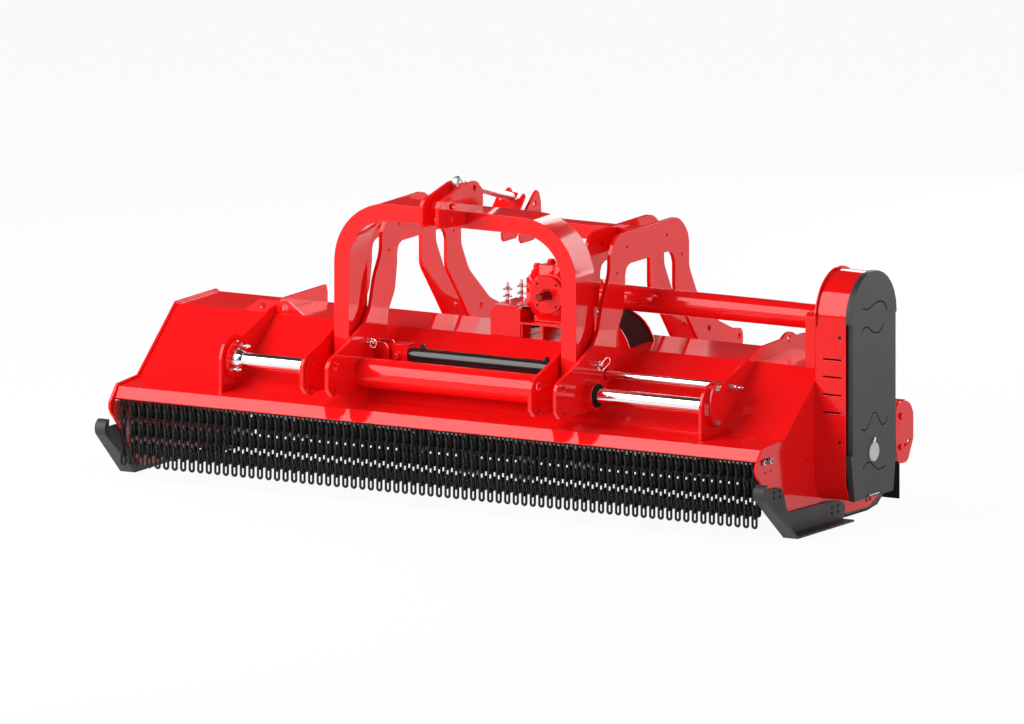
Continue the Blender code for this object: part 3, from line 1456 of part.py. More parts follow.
def hitch_plate(name, low, inner):
    """A hitch plate with its holes. The two inner plates also pass the cross tube."""
    holes = [
        circle((GUIDE_Y, GUIDE_Z), TUBE_R + GAP),
        circle((CYLINDER_Y, CYLINDER_Z), PISTON_ROD_R + STAND_INSET, 10),
    ]
    for back, up, radius in FRONT_HOLES:
        holes.append(circle((FRONT_REACH_Y + back, TOWER_FOOT + up), radius, 10))
    for front, drop, radius in REAR_HOLES:
        holes.append(circle((REAR_REACH_Y - front, TOWER_TOP - drop), radius, 8))
    for y, drop in SMALL_HOLES:
        holes.append(circle((y, TOWER_TOP - drop), SMALL_HOLE_R, 5))
    if inner:
        holes.append(cross_tube_outline(GAP))
    return plate(name, "X", hitch_plate_outline(), low, low + HITCH_PLATE, "red_paint", holes)


def cross_tube_outline(margin):
    half_depth = CROSS_TUBE_DEPTH / 2 + margin
    low = CROSS_TUBE_TOP - CROSS_TUBE_HEIGHT - margin
    high = CROSS_TUBE_TOP + margin
    front = CROSS_TUBE_Y - half_depth
    rear = CROSS_TUBE_Y + half_depth
    return [(front, low), (rear, low), (rear, high), (front, high)]


def hitch_plate_places():
    """Low X of the four hitch plates, left to right."""
    middle = from_left(CARRIAGE_FROM_LEFT)
    places = []
    for pair in (-1, 1):
        centre = middle + pair * LINK_SPACING / 2
        places.append(centre - PAIR_GAP / 2 - HITCH_PLATE)
        places.append(centre + PAIR_GAP / 2)
    return places


def hitch_plates():
    names = ("hitch_plate_1", "hitch_plate_2", "hitch_plate_3", "hitch_plate_4")
    plates = []
    for index, (name, low) in enumerate(zip(names, hitch_plate_places())):
        plates.append(hitch_plate(name, low, index in (1, 2)))
    return plates


def guide_tube():
    low, high = guide_tube_ends()
    inner = TUBE_R - TUBE_WALL
    profile = [(0, inner), (0, TUBE_R), (high - low, TUBE_R), (high - low, inner)]
    start = (low, GUIDE_Y, GUIDE_Z)
    return turned("guide_tube", start, (1, 0, 0), profile, "red_paint", hollow=True)


def guide_tube_ends():
    places = hitch_plate_places()
    return places[0] - TUBE_OVERHANG, places[3] + HITCH_PLATE + TUBE_OVERHANG


def guide_ends():
    """The bush and the seal ring in each end of the guide tube."""
    pieces = []
    bore = GUIDE_ROD_R + RUNNING
    fit = TUBE_R - TUBE_WALL - GAP
    bush = [(0, bore), (0, fit), (BUSH_LENGTH, fit), (BUSH_LENGTH, bore)]
    top = GAP + SEAL_DEPTH
    seal = [(GAP, bore), (GAP, SEAL_R), (top, SEAL_LIP), (top, bore)]
    for end, outward, side in zip(guide_tube_ends(), (-1, 1), ("left", "right")):
        start = (end, GUIDE_Y, GUIDE_Z)
        inward = (-outward, 0, 0)
        pieces.append(turned("guide_bush_" + side, start, inward, bush, "bronze", hollow=True))
        pieces.append(turned("guide_seal_" + side, start, (outward, 0, 0), seal, "rubber", hollow=True))
    return pieces


def front_arch():
    """The bent box-section bow between the two pairs of hitch plates."""
    middle = from_left(CARRIAGE_FROM_LEFT)
    half = ARCH_WIDTH / 2
    outer = bow_line(middle, half, ARCH_TOP, ARCH_BEND_R)
    inner = bow_line(middle, half - ARCH_BAR, ARCH_TOP - ARCH_BAR, ARCH_BEND_R - ARCH_BAR)
    rear = ARCH_FRONT_Y + ARCH_DEPTH
    return plate("front_arch", "Y", outer + inner[::-1], ARCH_FRONT_Y, rear, "red_paint")


def bow_line(middle, half, top, radius):
    left = arc((middle - half + radius, top - radius), radius, 180, 90, 8)
    right = arc((middle + half - radius, top - radius), radius, 90, 0, 8)
    return [(middle - half, ARCH_FOOT_Z)] + left + right + [(middle + half, ARCH_FOOT_Z)]


def top_hitch_plate(name, low):
    """One of the two top link plates, hooked over the front arch."""
    front = TOP_HITCH_FRONT_Y
    rear = TOP_HITCH_REAR_Y
    arch_face = ARCH_FRONT_Y - GAP
    top = ARCH_TOP + GAP
    back = rear - TOP_HITCH_BACK
    corners = [
        (front, top - TOP_HITCH_CHIN, 0.020),
        (arch_face, top - TOP_HITCH_HOOK, 0.0),
        (arch_face, top, 0.0),
        (rear, top, 0.0),
        (rear, top + TOP_HITCH_SHOULDER, 0.020),
        (back, top + TOP_HITCH_RISE, 0.030),
        (back - TOP_HITCH_CREST, top + TOP_HITCH_RISE, 0.040),
        (front, top + TOP_HITCH_NOSE, 0.020),
    ]
    slot_back, slot_up, slot_half = TOP_SLOT
    slot_y = front + slot_back
    slot_z = ARCH_TOP + slot_up
    slot = arc((slot_y + slot_half, slot_z), TOP_PIN_R, -90, 90, 4)
    slot += arc((slot_y - slot_half, slot_z), TOP_PIN_R, 90, 270, 4)
    holes = [
        slot,
        circle((slot_y, ARCH_TOP - TOP_LOWER_PIN_DROP), TOP_PIN_R, 8),
        circle((rear - TOP_REAR_PIN[0], ARCH_TOP + TOP_REAR_PIN[1]), TOP_PIN_R, 8),
    ]
    return plate(name, "X", rounded(corners), low, low + TOP_HITCH_PLATE, "red_paint", holes)


def top_hitch():
    half = TOP_HITCH_GAP / 2
    left = top_hitch_plate("top_hitch_plate_left", hitch_middle() - half - TOP_HITCH_PLATE)
    right = top_hitch_plate("top_hitch_plate_right", hitch_middle() + half)
    return left, right


def hitch_middle():
    return from_left(CARRIAGE_FROM_LEFT) + TOP_HITCH_ASIDE


def cross_tube():
    places = hitch_plate_places()
    low = places[0] + HITCH_PLATE + GAP
    high = places[3] - GAP
    return plate("rear_cross_tube", "X", cross_tube_outline(0), low, high, "red_paint")


def rear_hitch_bracket():
    """A notched front plate between two cheeks that sit round the cross tube."""
    middle = hitch_middle()
    front = bracket_front()
    base = CROSS_TUBE_TOP + BRACKET_UP
    crest = base + BRACKET_HEIGHT
    shoulder = base + BRACKET_SHOULDER
    right = [
        (BRACKET_HALF, base),
        (BRACKET_HALF, shoulder),
        (NOTCH_OUTER, crest),
        (NOTCH_INNER, crest),
        (NOTCH_FLOOR, crest - NOTCH_DEPTH),
    ]
    notched = [(middle + x, z) for x, z in right] + [(middle - x, z) for x, z in reversed(right)]
    hole = circle((middle, shoulder), BRACKET_HOLE_R, 8)
    face = plate("rear_hitch_bracket", "Y", notched, front, front + BRACKET_FACE, "red_paint", [hole])
    cheek_low = CROSS_TUBE_TOP - CROSS_TUBE_HEIGHT - CHEEK_HANG
    cheek_rear = front + CHEEK_DEPTH
    corners = [
        (front + BRACKET_FACE / 2, cheek_low, 0.010),
        (cheek_rear, cheek_low, 0.030),
        (cheek_rear - CHEEK_TAPER, base + CHEEK_TOP, 0.030),
        (front + BRACKET_FACE / 2, base + CHEEK_TOP, 0.010),
    ]
    pin_hole = circle((CROSS_TUBE_Y - CHEEK_PIN[0], base + CHEEK_PIN[1]), TOP_PIN_R, 8)
    holes = [cross_tube_outline(GAP), pin_hole]
    cheeks = []
    for x in (middle - BRACKET_HALF - CHEEK / 4, middle + BRACKET_HALF - 3 * CHEEK / 4):
        cheeks.append(plate("cheek", "X", rounded(corners), x, x + CHEEK, "red_paint", holes))
    return joined(face, *cheeks)


def bracket_front():
    return CROSS_TUBE_Y - CROSS_TUBE_DEPTH / 2 - BRACKET_AIR - BRACKET_FACE


def tie_rod():
    """The polished strut from the top hitch to the rear bracket, with a ball at its front end."""
    middle = hitch_middle()
    front = Vector((middle, TIE_ROD_FRONT_Y, ARCH_TOP + TIE_ROD_FRONT_UP))
    rear = Vector((middle, bracket_front() - STAND_INSET, CROSS_TUBE_TOP + TIE_ROD_REAR_UP))
    length = (rear - front).length
    profile = [(-BALL_R, 0)]
    for angle in (35, 70, 105, 130):
        turn = math.radians(angle)
        profile.append((-BALL_R * math.cos(turn), BALL_R * math.sin(turn)))
    profile += [(BALL_R, TIE_ROD_R), (length, TIE_ROD_R), (length, 0)]
    return turned("tie_rod", front, rear - front, profile, "bright_steel", 12)


def barrel():
    """The side-shift cylinder's barrel, with its gland at the right and an oil port on top."""
    left = from_left(BARREL_LEFT)
    bore = BARREL_R - BARREL_WALL
    gland = BARREL_LENGTH - GLAND_LENGTH
    rod_bore = PISTON_ROD_R + RUNNING
    profile = [
        (0, 0),
        (0, BARREL_R),
        (gland, BARREL_R),
        (gland, BARREL_R + GLAND_RIM),
        (BARREL_LENGTH, BARREL_R + GLAND_RIM),
        (BARREL_LENGTH, rod_bore),
        (gland, rod_bore),
        (gland, bore),
        (BARREL_END, bore),
        (BARREL_END, 0),
    ]
    base = turned("shift_barrel", (left, CYLINDER_Y, CYLINDER_Z), (1, 0, 0), profile, "black_paint")
    port_x = left + PORT_FROM_LEFT
    low = (port_x, CYLINDER_Y, CYLINDER_Z + BARREL_R - BARREL_WALL + RUNNING)
    high = (port_x, CYLINDER_Y, CYLINDER_Z + BARREL_R + PORT_UP)
    return joined(base, rod("port", low, high, PORT_R, "zinc_steel", 8))


def barrel_bracket():
    """The lug that holds the closed end of the barrel to the second hitch plate."""
    low = hitch_plate_places()[1] + HITCH_PLATE + GAP
    high = from_left(BARREL_LEFT) - GAP
    corners = [
        (CYLINDER_Y - LUG_HALF, CYLINDER_Z - LUG_LOW_FRONT, 0.010),
        (CYLINDER_Y + LUG_HALF, CYLINDER_Z - LUG_LOW_REAR, 0.010),
        (CYLINDER_Y + LUG_HALF, CYLINDER_Z + LUG_HIGH, 0.020),
        (CYLINDER_Y - LUG_HALF, CYLINDER_Z + LUG_HIGH, 0.020),
    ]
    return plate("barrel_bracket", "X", rounded(corners), low, high, "red_paint")


def piston_rod():
    """The cylinder's rod with its piston, held in the right rod plate."""
    piston = BARREL_LEFT + BARREL_LENGTH - GLAND_LENGTH - PISTON_FROM_GLAND - PISTON_DEPTH
    length = GUSSET_RIGHT + GUSSET / 2 + PISTON_NUT - piston
    head = BARREL_R - BARREL_WALL - RUNNING
    profile = [
        (0, 0),
        (0, head),
        (PISTON_DEPTH, head),
        (PISTON_DEPTH, PISTON_ROD_R),
        (length, PISTON_ROD_R),
        (length, 0),
    ]
    start = (from_left(piston), CYLINDER_Y, CYLINDER_Z)
    return turned("piston_rod", start, (1, 0, 0), profile, "bright_steel")


def handle_pin(name, pair):
    """A pin with an upright handle, between one pair of hitch plates behind the guide tube."""
    places = hitch_plate_places()
    low = places[pair * 2] + HITCH_PLATE + GAP
    high = places[pair * 2 + 1] - GAP
    y = GUIDE_Y + PIN_BACK
    z = GUIDE_Z + PIN_UP
    shank = rod(name, (low, y, z), (high, y, z), PIN_R, "bright_steel", 8)
    middle = (low + high) / 2
    top = (middle, y + HANDLE_REACH[0], z + HANDLE_REACH[1])
    handle = rod("handle", (middle, y, z), top, HANDLE_R, "bright_steel", 6)
    return joined(shank, handle)


def build_housing():
    right_face = from_left(HOUSING_WIDTH)
    hood_shell()
    end_plate("left_end_plate", from_left(0))
    end_plate("right_end_plate", right_face - END_PLATE)
    gusset("left_rod_plate", GUSSET_LEFT, False)
    gusset("right_rod_plate", GUSSET_RIGHT, True)
    guide_rod()
    rod_flange()
    rod_cap()
    counter_knife()
    front_skid("front_skid_left", from_left(-GAP), -1)
    front_skid("front_skid_right", right_face + GAP, 1)
    rear_skid("rear_skid_left", from_left(-GAP), -1)
    rear_skid("rear_skid_right", right_face + GAP, 1)
    bearing("rotor_bearing_left", from_left(0), -1)
    bearing("rotor_bearing_right", right_face, 1)
    gearbox_case()
    gearbox_flange("gearbox_flange_front", -1)
    gearbox_flange("gearbox_flange_rear", 1)
    gearbox_stand()
    tailgate_ear("tailgate_ear_left", from_left(-GAP), -1)
    tailgate_ear("tailgate_ear_right", right_face + GAP, 1)
    drive_tube()
    drive_tube_bracket()
    belt_case()
    belt_cover()
    drive_belt()
    piston_rod()


def build_rotating():
    shaft_place = (0, ROTOR_Y, ROTOR_Z)
    drive_place = (0, ROTOR_Y, DRIVE_Z)
    gearbox_place = (from_left(GEARBOX_FROM_LEFT), ROTOR_Y, DRIVE_Z)
    lower = pulley("rotor_pulley", ROTOR_Z, LOWER_PULLEY_R, ROTOR_SHAFT_R + GAP)
    upper = pulley("drive_pulley", DRIVE_Z, UPPER_PULLEY_R, DRIVE_SHAFT_R + GAP)
    crown, pinion = bevel_gears()
    carried("rotor_axis", shaft_place, [rotor(), lower])
    carried("drive_axis", drive_place, [drive_shaft(), upper, pinion])
    carried("input_axis", gearbox_place, [input_shaft(), crown])


def build_hinged():
    front = chain_row("chain_row_front", FRONT_CHAIN_Y, FRONT_LINKS, CHAIN_PITCH_X, FRONT_SWELLS)
    rear = chain_row("chain_row_rear", REAR_CHAIN_Y, REAR_LINKS, REAR_CHAIN_PITCH_X, REAR_SWELLS)
    carried("front_chain_axis", (0, FRONT_CHAIN_Y, CHAIN_ROD_Z), [front])
    carried("rear_chain_axis", (0, REAR_CHAIN_Y, CHAIN_ROD_Z), [rear])
    carried("tailgate_axis", (0, PIVOT_Y, PIVOT_Z), [tailgate(), rear_flap(), flap_strip()])
    disc_pivot = (cover_face() + GAP, ROTOR_Y, ROTOR_Z + DISC_PIVOT_UP)
    carried("disc_axis", disc_pivot, [inspection_disc()])


def build_carriage():
    pieces = hitch_plates() + guide_ends()
    pieces += [guide_tube(), front_arch(), cross_tube(), rear_hitch_bracket(), tie_rod()]
    pieces += [*top_hitch(), barrel(), barrel_bracket()]
    pieces += [handle_pin("handle_pin_left", 0), handle_pin("handle_pin_right", 1)]
    carried("carriage_slide", (from_left(CARRIAGE_FROM_LEFT), GUIDE_Y, GUIDE_Z), pieces)


clear_scene()
build_housing()
build_rotating()
build_hinged()
build_carriage()
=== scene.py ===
"""A side-shifting hammer knife mower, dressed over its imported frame: paint, chrome, chains and fasteners."""

import json
import math

import bmesh
import bpy
from mathutils import Matrix, Vector

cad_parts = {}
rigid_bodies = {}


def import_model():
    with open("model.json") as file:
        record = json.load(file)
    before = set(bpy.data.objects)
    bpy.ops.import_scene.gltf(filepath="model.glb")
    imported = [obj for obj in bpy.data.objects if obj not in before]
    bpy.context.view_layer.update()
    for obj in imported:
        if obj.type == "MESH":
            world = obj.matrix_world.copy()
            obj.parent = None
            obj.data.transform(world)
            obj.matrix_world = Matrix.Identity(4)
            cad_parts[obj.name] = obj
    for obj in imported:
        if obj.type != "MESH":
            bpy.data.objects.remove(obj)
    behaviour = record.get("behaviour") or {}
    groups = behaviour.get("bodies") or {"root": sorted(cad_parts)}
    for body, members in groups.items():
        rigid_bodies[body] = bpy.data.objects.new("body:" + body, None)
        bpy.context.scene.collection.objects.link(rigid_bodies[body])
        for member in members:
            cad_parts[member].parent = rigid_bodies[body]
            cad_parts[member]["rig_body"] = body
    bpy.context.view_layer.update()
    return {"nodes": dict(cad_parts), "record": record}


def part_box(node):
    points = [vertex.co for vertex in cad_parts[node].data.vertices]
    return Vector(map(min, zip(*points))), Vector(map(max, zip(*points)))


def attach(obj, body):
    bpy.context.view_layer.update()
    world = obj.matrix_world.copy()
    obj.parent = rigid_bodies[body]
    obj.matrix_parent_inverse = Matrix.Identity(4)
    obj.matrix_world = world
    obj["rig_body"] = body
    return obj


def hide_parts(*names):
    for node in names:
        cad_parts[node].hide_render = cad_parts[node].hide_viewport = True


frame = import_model()
NODES = frame["nodes"]


# Camera and light

AIM = Vector((-0.156, 0.145, 0.456))
TOWARDS_CAMERA = Vector((0.4855, -0.8559, 0.1773)).normalized()
VIEW_WIDTH = 3.938


def add_camera():
    lens = bpy.data.cameras.new("camera")
    lens.type = "ORTHO"
    lens.ortho_scale = VIEW_WIDTH
    lens.clip_end = 200.0
    camera = bpy.data.objects.new("camera", lens)
    camera.location = AIM + TOWARDS_CAMERA * 8.0
    camera.rotation_euler = (-TOWARDS_CAMERA).to_track_quat("-Z", "Y").to_euler()
    bpy.context.scene.collection.objects.link(camera)
    bpy.context.scene.camera = camera


def add_softbox(name, place, target, size, power, up=(0, 0, 1)):
    lamp = bpy.data.lights.new(name, "AREA")
    lamp.shape = "RECTANGLE"
    lamp.size, lamp.size_y = size
    lamp.energy = power
    box = bpy.data.objects.new(name, lamp)
    box.location = place
    back = (Vector(place) - Vector(target)).normalized()
    right = Vector(up).cross(back).normalized()
    box.rotation_euler = Matrix((right, back.cross(right), back)).transposed().to_euler()
    bpy.context.scene.collection.objects.link(box)


def add_lights():
    add_softbox("front_panel", (-2.9, -4.3, 3.45), (0, -0.2, 0.2), (4.6, 6.4), 520, (0, 0.62, 0.785))
    add_softbox("rear_panel", (1.75, 7.0, 2.75), (1.75, 0, 2.75), (6.6, 5.3), 540)
    add_softbox("rear_side_panel", (-2.25, 7.0, 4.0), (-2.25, 0, 4.0), (1.3, 2.8), 58)
    add_softbox("top_softbox", (3.2, 1.4, 5.6), (0.4, 0, 0.6), (4.5, 4.5), 70)
    add_softbox("right_softbox", (6.6, -2.4, 2.8), (0, 0, 0.5), (2.4, 2.4), 95)
    add_softbox("left_softbox", (-6.4, 0.4, 2.6), (0, 0, 0.5), (2.6, 2.6), 90)
    for x, width in ((-3.05, 0.26), (-2.74, 0.22), (-2.215, 0.085), (-2.09, 0.095)):
        add_softbox("rear_strip", (x, 5.0, 1.62), (x, 0, 1.62), (width, 0.70), 1.3 * width)
    world = bpy.data.worlds.new("studio")
    world.use_nodes = True
    background = world.node_tree.nodes["Background"]
    background.inputs["Color"].default_value = (1.0, 1.0, 1.0, 1.0)
    background.inputs["Strength"].default_value = 0.05
    bpy.context.scene.world = world
    bpy.context.scene.view_settings.view_transform = "Standard"


# Shader maths

class Value:
    """A socket that Python's arithmetic can be written on. Each operation adds its Math node."""

    def __init__(self, tree, socket):
        self.tree = tree
        self.socket = socket

    def maths(self, operation, first, second):
        node = self.tree.nodes.new("ShaderNodeMath")
        node.operation = operation
        for socket, item in zip(node.inputs, (first, second)):
            plug(self.tree, socket, item)
        return Value(self.tree, node.outputs[0])

    def __add__(self, other):
        return self.maths("ADD", self, other)

    def __sub__(self, other):
        return self.maths("SUBTRACT", self, other)

    def __rsub__(self, other):
        return self.maths("SUBTRACT", other, self)

    def __mul__(self, other):
        return self.maths("MULTIPLY", self, other)

    def __truediv__(self, other):
        return self.maths("DIVIDE", self, other)

    def __pow__(self, other):
        return self.maths("POWER", self, other)

    __radd__ = __add__
    __rmul__ = __mul__


def plug(tree, socket, item):
    """Links a value to a socket, or sets the socket to a number or a colour."""
    if isinstance(item, Value):
        tree.links.new(item.socket, socket)
    elif isinstance(item, tuple) and len(item) == 3 and socket.type == "RGBA":
        socket.default_value = (*item, 1.0)
    else:
        socket.default_value = item


class Finish:
    """A material under construction."""

    def __init__(self, name, **constants):
        self.material = bpy.data.materials.new(name)
        self.material.use_nodes = True
        self.tree = self.material.node_tree
        self.shader = self.tree.nodes["Principled BSDF"]
        self.shade(**constants)

    def shade(self, **sockets):
        """Sets or links the main shader's sockets, named with underscores."""
        for name, item in sockets.items():
            plug(self.tree, self.shader.inputs[name.replace("_", " ").title().replace("Ior", "IOR")], item)

    def node(self, kind, settings=None, output=0, **sockets):
        """Any other node: its type, its settings, and the values or links of its sockets."""
        made = self.tree.nodes.new("ShaderNode" + kind)
        for name, setting in (settings or {}).items():
            if name == "stops":
                ramp = made.color_ramp
                while len(ramp.elements) < len(setting):
                    ramp.elements.new(0.5)
                for element, (place, colour) in zip(ramp.elements, setting):
                    element.position = place
                    element.color = (*colour, 1.0)
            else:
                setattr(made, name, setting)
        for name, item in sockets.items():
            plug(self.tree, made.inputs[name.replace("_", " ")], item)
        return Value(self.tree, made.outputs[output])

    def place(self):
        return self.node("TexCoord", output=3)

    def noise(self, scale, detail=3.0, roughness=0.5, distortion=0.0):
        return self.node(
            "TexNoise",
            Vector=self.place(),
            Scale=scale,
            Detail=detail,
            Roughness=roughness,
            Distortion=distortion,
        )

    def between(self, value, low, high):
        """The value's range from low to high, stretched to 0 and 1."""
        return self.node("MapRange", Value=value, From_Min=low, From_Max=high)

    def blend(self, factor, first, second):
        """A mix of two colours."""
        made = self.tree.nodes.new("ShaderNodeMix")
        made.data_type = "RGBA"
        plug(self.tree, made.inputs[0], factor)
        plug(self.tree, made.inputs[6], first)
        plug(self.tree, made.inputs[7], second)
        return Value(self.tree, made.outputs[2])

    def relief(self, height, strength, distance=0.001):
        self.shade(normal=self.node("Bump", Height=height, Strength=strength, Distance=distance))


def gloss_paint(name, colour, deep, coat, rough):
    """Sprayed enamel: a slow drift of tone, faint orange peel and a clear coat."""
    paint = Finish(name, coat_weight=coat, coat_roughness=0.02, specular_ior_level=0.24)
    drift = paint.between(paint.noise(1.7, 2.0), 0.3, 0.7)
    paint.shade(base_color=paint.blend(drift, deep, colour))
    paint.shade(roughness=rough + 0.05 * paint.noise(9.0, 4.0))
    paint.relief(paint.noise(420.0, 2.0), 0.02)
    return paint.material


def chrome(name):
    """Hard chrome with fine turning marks round the rod."""
    metal = Finish(name, metallic=1.0, base_color=(0.86, 0.86, 0.88))
    marks = metal.node("TexWave", {"bands_direction": "X"}, Vector=metal.place(), Scale=160.0, Distortion=0.6, Detail=2.0)
    metal.shade(roughness=0.05 + 0.05 * metal.noise(30.0, 3.0))
    metal.relief(marks, 0.01)
    return metal.material


def bare_metal(name, dark, pale, low, high, scale):
    """Plated or worn steel: mottled tone and roughness with fine scratches."""
    metal = Finish(name, metallic=1.0)
    mottle = metal.between(metal.noise(scale, 5.0, 0.6), 0.3, 0.7)
    metal.shade(base_color=metal.blend(mottle, dark, pale))
    metal.shade(roughness=low + (high - low) * mottle)
    metal.relief(metal.noise(scale * 9.0, 3.0), 0.08)
    return metal.material


def matt_coat(name, dark, pale, rough, scale, strength, shine=0.5):
    """Powder coat, rubber or cast iron: fine grain over a soft change of tone."""
    coat = Finish(name, specular_ior_level=shine)
    tone = coat.between(coat.noise(6.0, 3.0), 0.3, 0.7)
    coat.shade(base_color=coat.blend(tone, dark, pale))
    coat.shade(roughness=rough + 0.12 * coat.noise(14.0, 4.0))
    coat.relief(coat.noise(scale, 4.0, 0.7), strength)
    return coat.material


RED = gloss_paint("red_enamel", (0.90, 0.008, 0.009), (0.84, 0.006, 0.007), 0.15, 0.06)
SHAFT_RED = gloss_paint("shaft_primer", (0.36, 0.012, 0.010), (0.22, 0.010, 0.008), 0.2, 0.25)
BLACK = gloss_paint("black_enamel", (0.016, 0.016, 0.017), (0.010, 0.010, 0.011), 0.5, 0.14)
CHROME = chrome("hard_chrome")
ZINC = bare_metal("zinc_plate", (0.50, 0.50, 0.48), (0.74, 0.74, 0.72), 0.16, 0.34, 60.0)
STEEL = bare_metal("worked_steel", (0.16, 0.15, 0.14), (0.30, 0.29, 0.28), 0.38, 0.60, 25.0)
BRONZE = bare_metal("bush_bronze", (0.42, 0.25, 0.09), (0.60, 0.38, 0.16), 0.25, 0.45, 40.0)
CAST = matt_coat("cast_iron", (0.050, 0.050, 0.050), (0.085, 0.083, 0.080), 0.55, 260.0, 0.25)
CHAIN = matt_coat("chain_black", (0.006, 0.006, 0.006), (0.010, 0.010, 0.010), 0.32, 300.0, 0.10, 0.25)
SKID = matt_coat("skid_grey", (0.028, 0.028, 0.027), (0.036, 0.036, 0.035), 0.44, 220.0, 0.10, 0.35)
COVER = matt_coat("cover_grey", (0.034, 0.034, 0.035), (0.040, 0.040, 0.041), 0.42, 240.0, 0.06, 0.28)
# Painted shade: a near-black red for the saddle's wall, standing for the shadowed inside of the half drum.
SHADE_PAINTED_RED = matt_coat("shaded_red", (0.035, 0.001, 0.001), (0.050, 0.002, 0.002), 0.80, 200.0, 0.10, 0.05)
SATIN = bare_metal("satin_zinc", (0.60, 0.60, 0.60), (0.78, 0.78, 0.78), 0.34, 0.48, 60.0)
# Painted shade: near black for the small screw heads and holes, standing for the shadow in their recesses.
HOLE_SHADE_BLACK = matt_coat("slot_shadow", (0.004, 0.004, 0.004), (0.008, 0.008, 0.008), 0.60, 200.0, 0.10)
RUBBER = matt_coat("flap_rubber", (0.007, 0.007, 0.007), (0.012, 0.012, 0.012), 0.70, 180.0, 0.22, 0.15)
DISC = matt_coat("disc_grey", (0.50, 0.50, 0.50), (0.58, 0.58, 0.58), 0.35, 200.0, 0.05)


# Modelling helpers

def alone(obj):
    """Makes one object the whole selection."""
    for other in bpy.context.view_layer.objects:
        other.select_set(False)
    bpy.context.view_layer.objects.active = obj
    obj.select_set(True)


def coated(obj, material):
    obj.data.materials.clear()
    obj.data.materials.append(material)


def apply_all(obj):
    alone(obj)
    for modifier in list(obj.modifiers):
        bpy.ops.object.modifier_apply(modifier=modifier.name)


def rounded_edges(obj, width, segments=2, angle=30.0):
    """Breaks the sharp edges of a finished form, then shades it smooth between them."""
    bevel = obj.modifiers.new("edges", "BEVEL")
    bevel.width = width
    bevel.segments = segments
    bevel.limit_method = "ANGLE"
    bevel.angle_limit = math.radians(angle)
    bevel.use_clamp_overlap = True
    apply_all(obj)
    bpy.ops.object.shade_smooth_by_angle(angle=math.radians(angle + 8.0))
    flat = obj.modifiers.new("flat", "WEIGHTED_NORMAL")
    flat.keep_sharp = True
    flat.weight = 90
    apply_all(obj)


def copy_of_node(name):
    """A node's shape as a new object, with its loose triangles merged into whole faces."""
    obj = bpy.data.objects.new(name + "_form", NODES[name].data.copy())
    bpy.context.scene.collection.objects.link(obj)
    alone(obj)
    bpy.ops.object.mode_set(mode="EDIT")
    bpy.ops.mesh.select_all(action="SELECT")
    bpy.ops.mesh.remove_doubles(threshold=0.00002)
    bpy.ops.mesh.dissolve_limited(angle_limit=math.radians(0.8))
    bpy.ops.object.mode_set(mode="OBJECT")
    return obj


def ride(obj, node):
    """The piece moves with the body that carries a node."""
    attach(obj, NODES[node]["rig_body"])
    return obj


def stands_for(obj, *names):
    """The piece rides where the nodes ride, and takes their place: the nodes are hidden."""
    ride(obj, names[0])
    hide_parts(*names)
    return obj


def extra(obj, name, material, node, edge=0.0006):
    """A piece of the scene's own, carried by the body that a node is on."""
    obj.name = name
    coated(obj, material)
    rounded_edges(obj, edge)
    return ride(obj, node)


def remade(obj, node, material, edge=0.001, segments=2):
    """A node's finer form in its place."""
    obj.name = node + "_form"
    coated(obj, material)
    rounded_edges(obj, edge, segments)
    return stands_for(obj, node)


SHORT_FACET = 0.052


def smooth_outline(obj, axis):
    """Rounds the coarse facets round a plate's corners and holes, and leaves its faces flat."""
    alone(obj)
    bpy.ops.object.mode_set(mode="EDIT")
    bpy.ops.mesh.select_mode(type="EDGE")
    bpy.ops.mesh.select_all(action="DESELECT")
    mesh = bmesh.from_edit_mesh(obj.data)
    for edge in mesh.edges:
        span = (edge.verts[1].co - edge.verts[0].co).normalized()
        turned = edge.calc_face_angle(0.0)
        narrow = max(face.calc_area() for face in edge.link_faces) < SHORT_FACET * edge.calc_length()
        edge.select = abs(span[axis]) > 0.999 and narrow and math.radians(6) < turned < math.radians(66)
    mesh.select_flush_mode()
    bmesh.update_edit_mesh(obj.data)
    bpy.ops.mesh.bevel(offset_type="PERCENT", offset_pct=33, segments=3, affect="EDGES")
    bpy.ops.object.mode_set(mode="OBJECT")


def dressed(name, material, width=0.0015, segments=2, angle=30.0):
    obj = copy_of_node(name)
    if name in PLATE_AXIS:
        smooth_outline(obj, PLATE_AXIS[name])
    coated(obj, material)
    rounded_edges(obj, width, segments, angle)
    return stands_for(obj, name)


# Floor

def add_floor():
    """A plain floor that keeps the shadow and shows white to the camera and in reflections."""
    bpy.ops.mesh.primitive_plane_add(size=90.0, location=(0, 0, -0.0005))
    floor = bpy.context.active_object
    floor.name = "studio_floor"
    pale = Finish("studio_floor", base_color=(0.85, 0.85, 0.85), roughness=0.9, specular_ior_level=0.0)
    seen = [pale.node("LightPath", output=ray) for ray in (0, 3, 6)]
    glow = pale.node("Emission", Strength=1.0)
    mix = pale.tree.nodes.new("ShaderNodeMixShader")
    pale.tree.links.new((0.95 * (seen[0] + seen[1] + seen[2])).socket, mix.inputs[0])
    pale.tree.links.new(pale.shader.outputs[0], mix.inputs[1])
    pale.tree.links.new(glow.socket, mix.inputs[2])
    pale.tree.links.new(mix.outputs[0], pale.tree.nodes["Material Output"].inputs[0])
    coated(floor, pale.material)


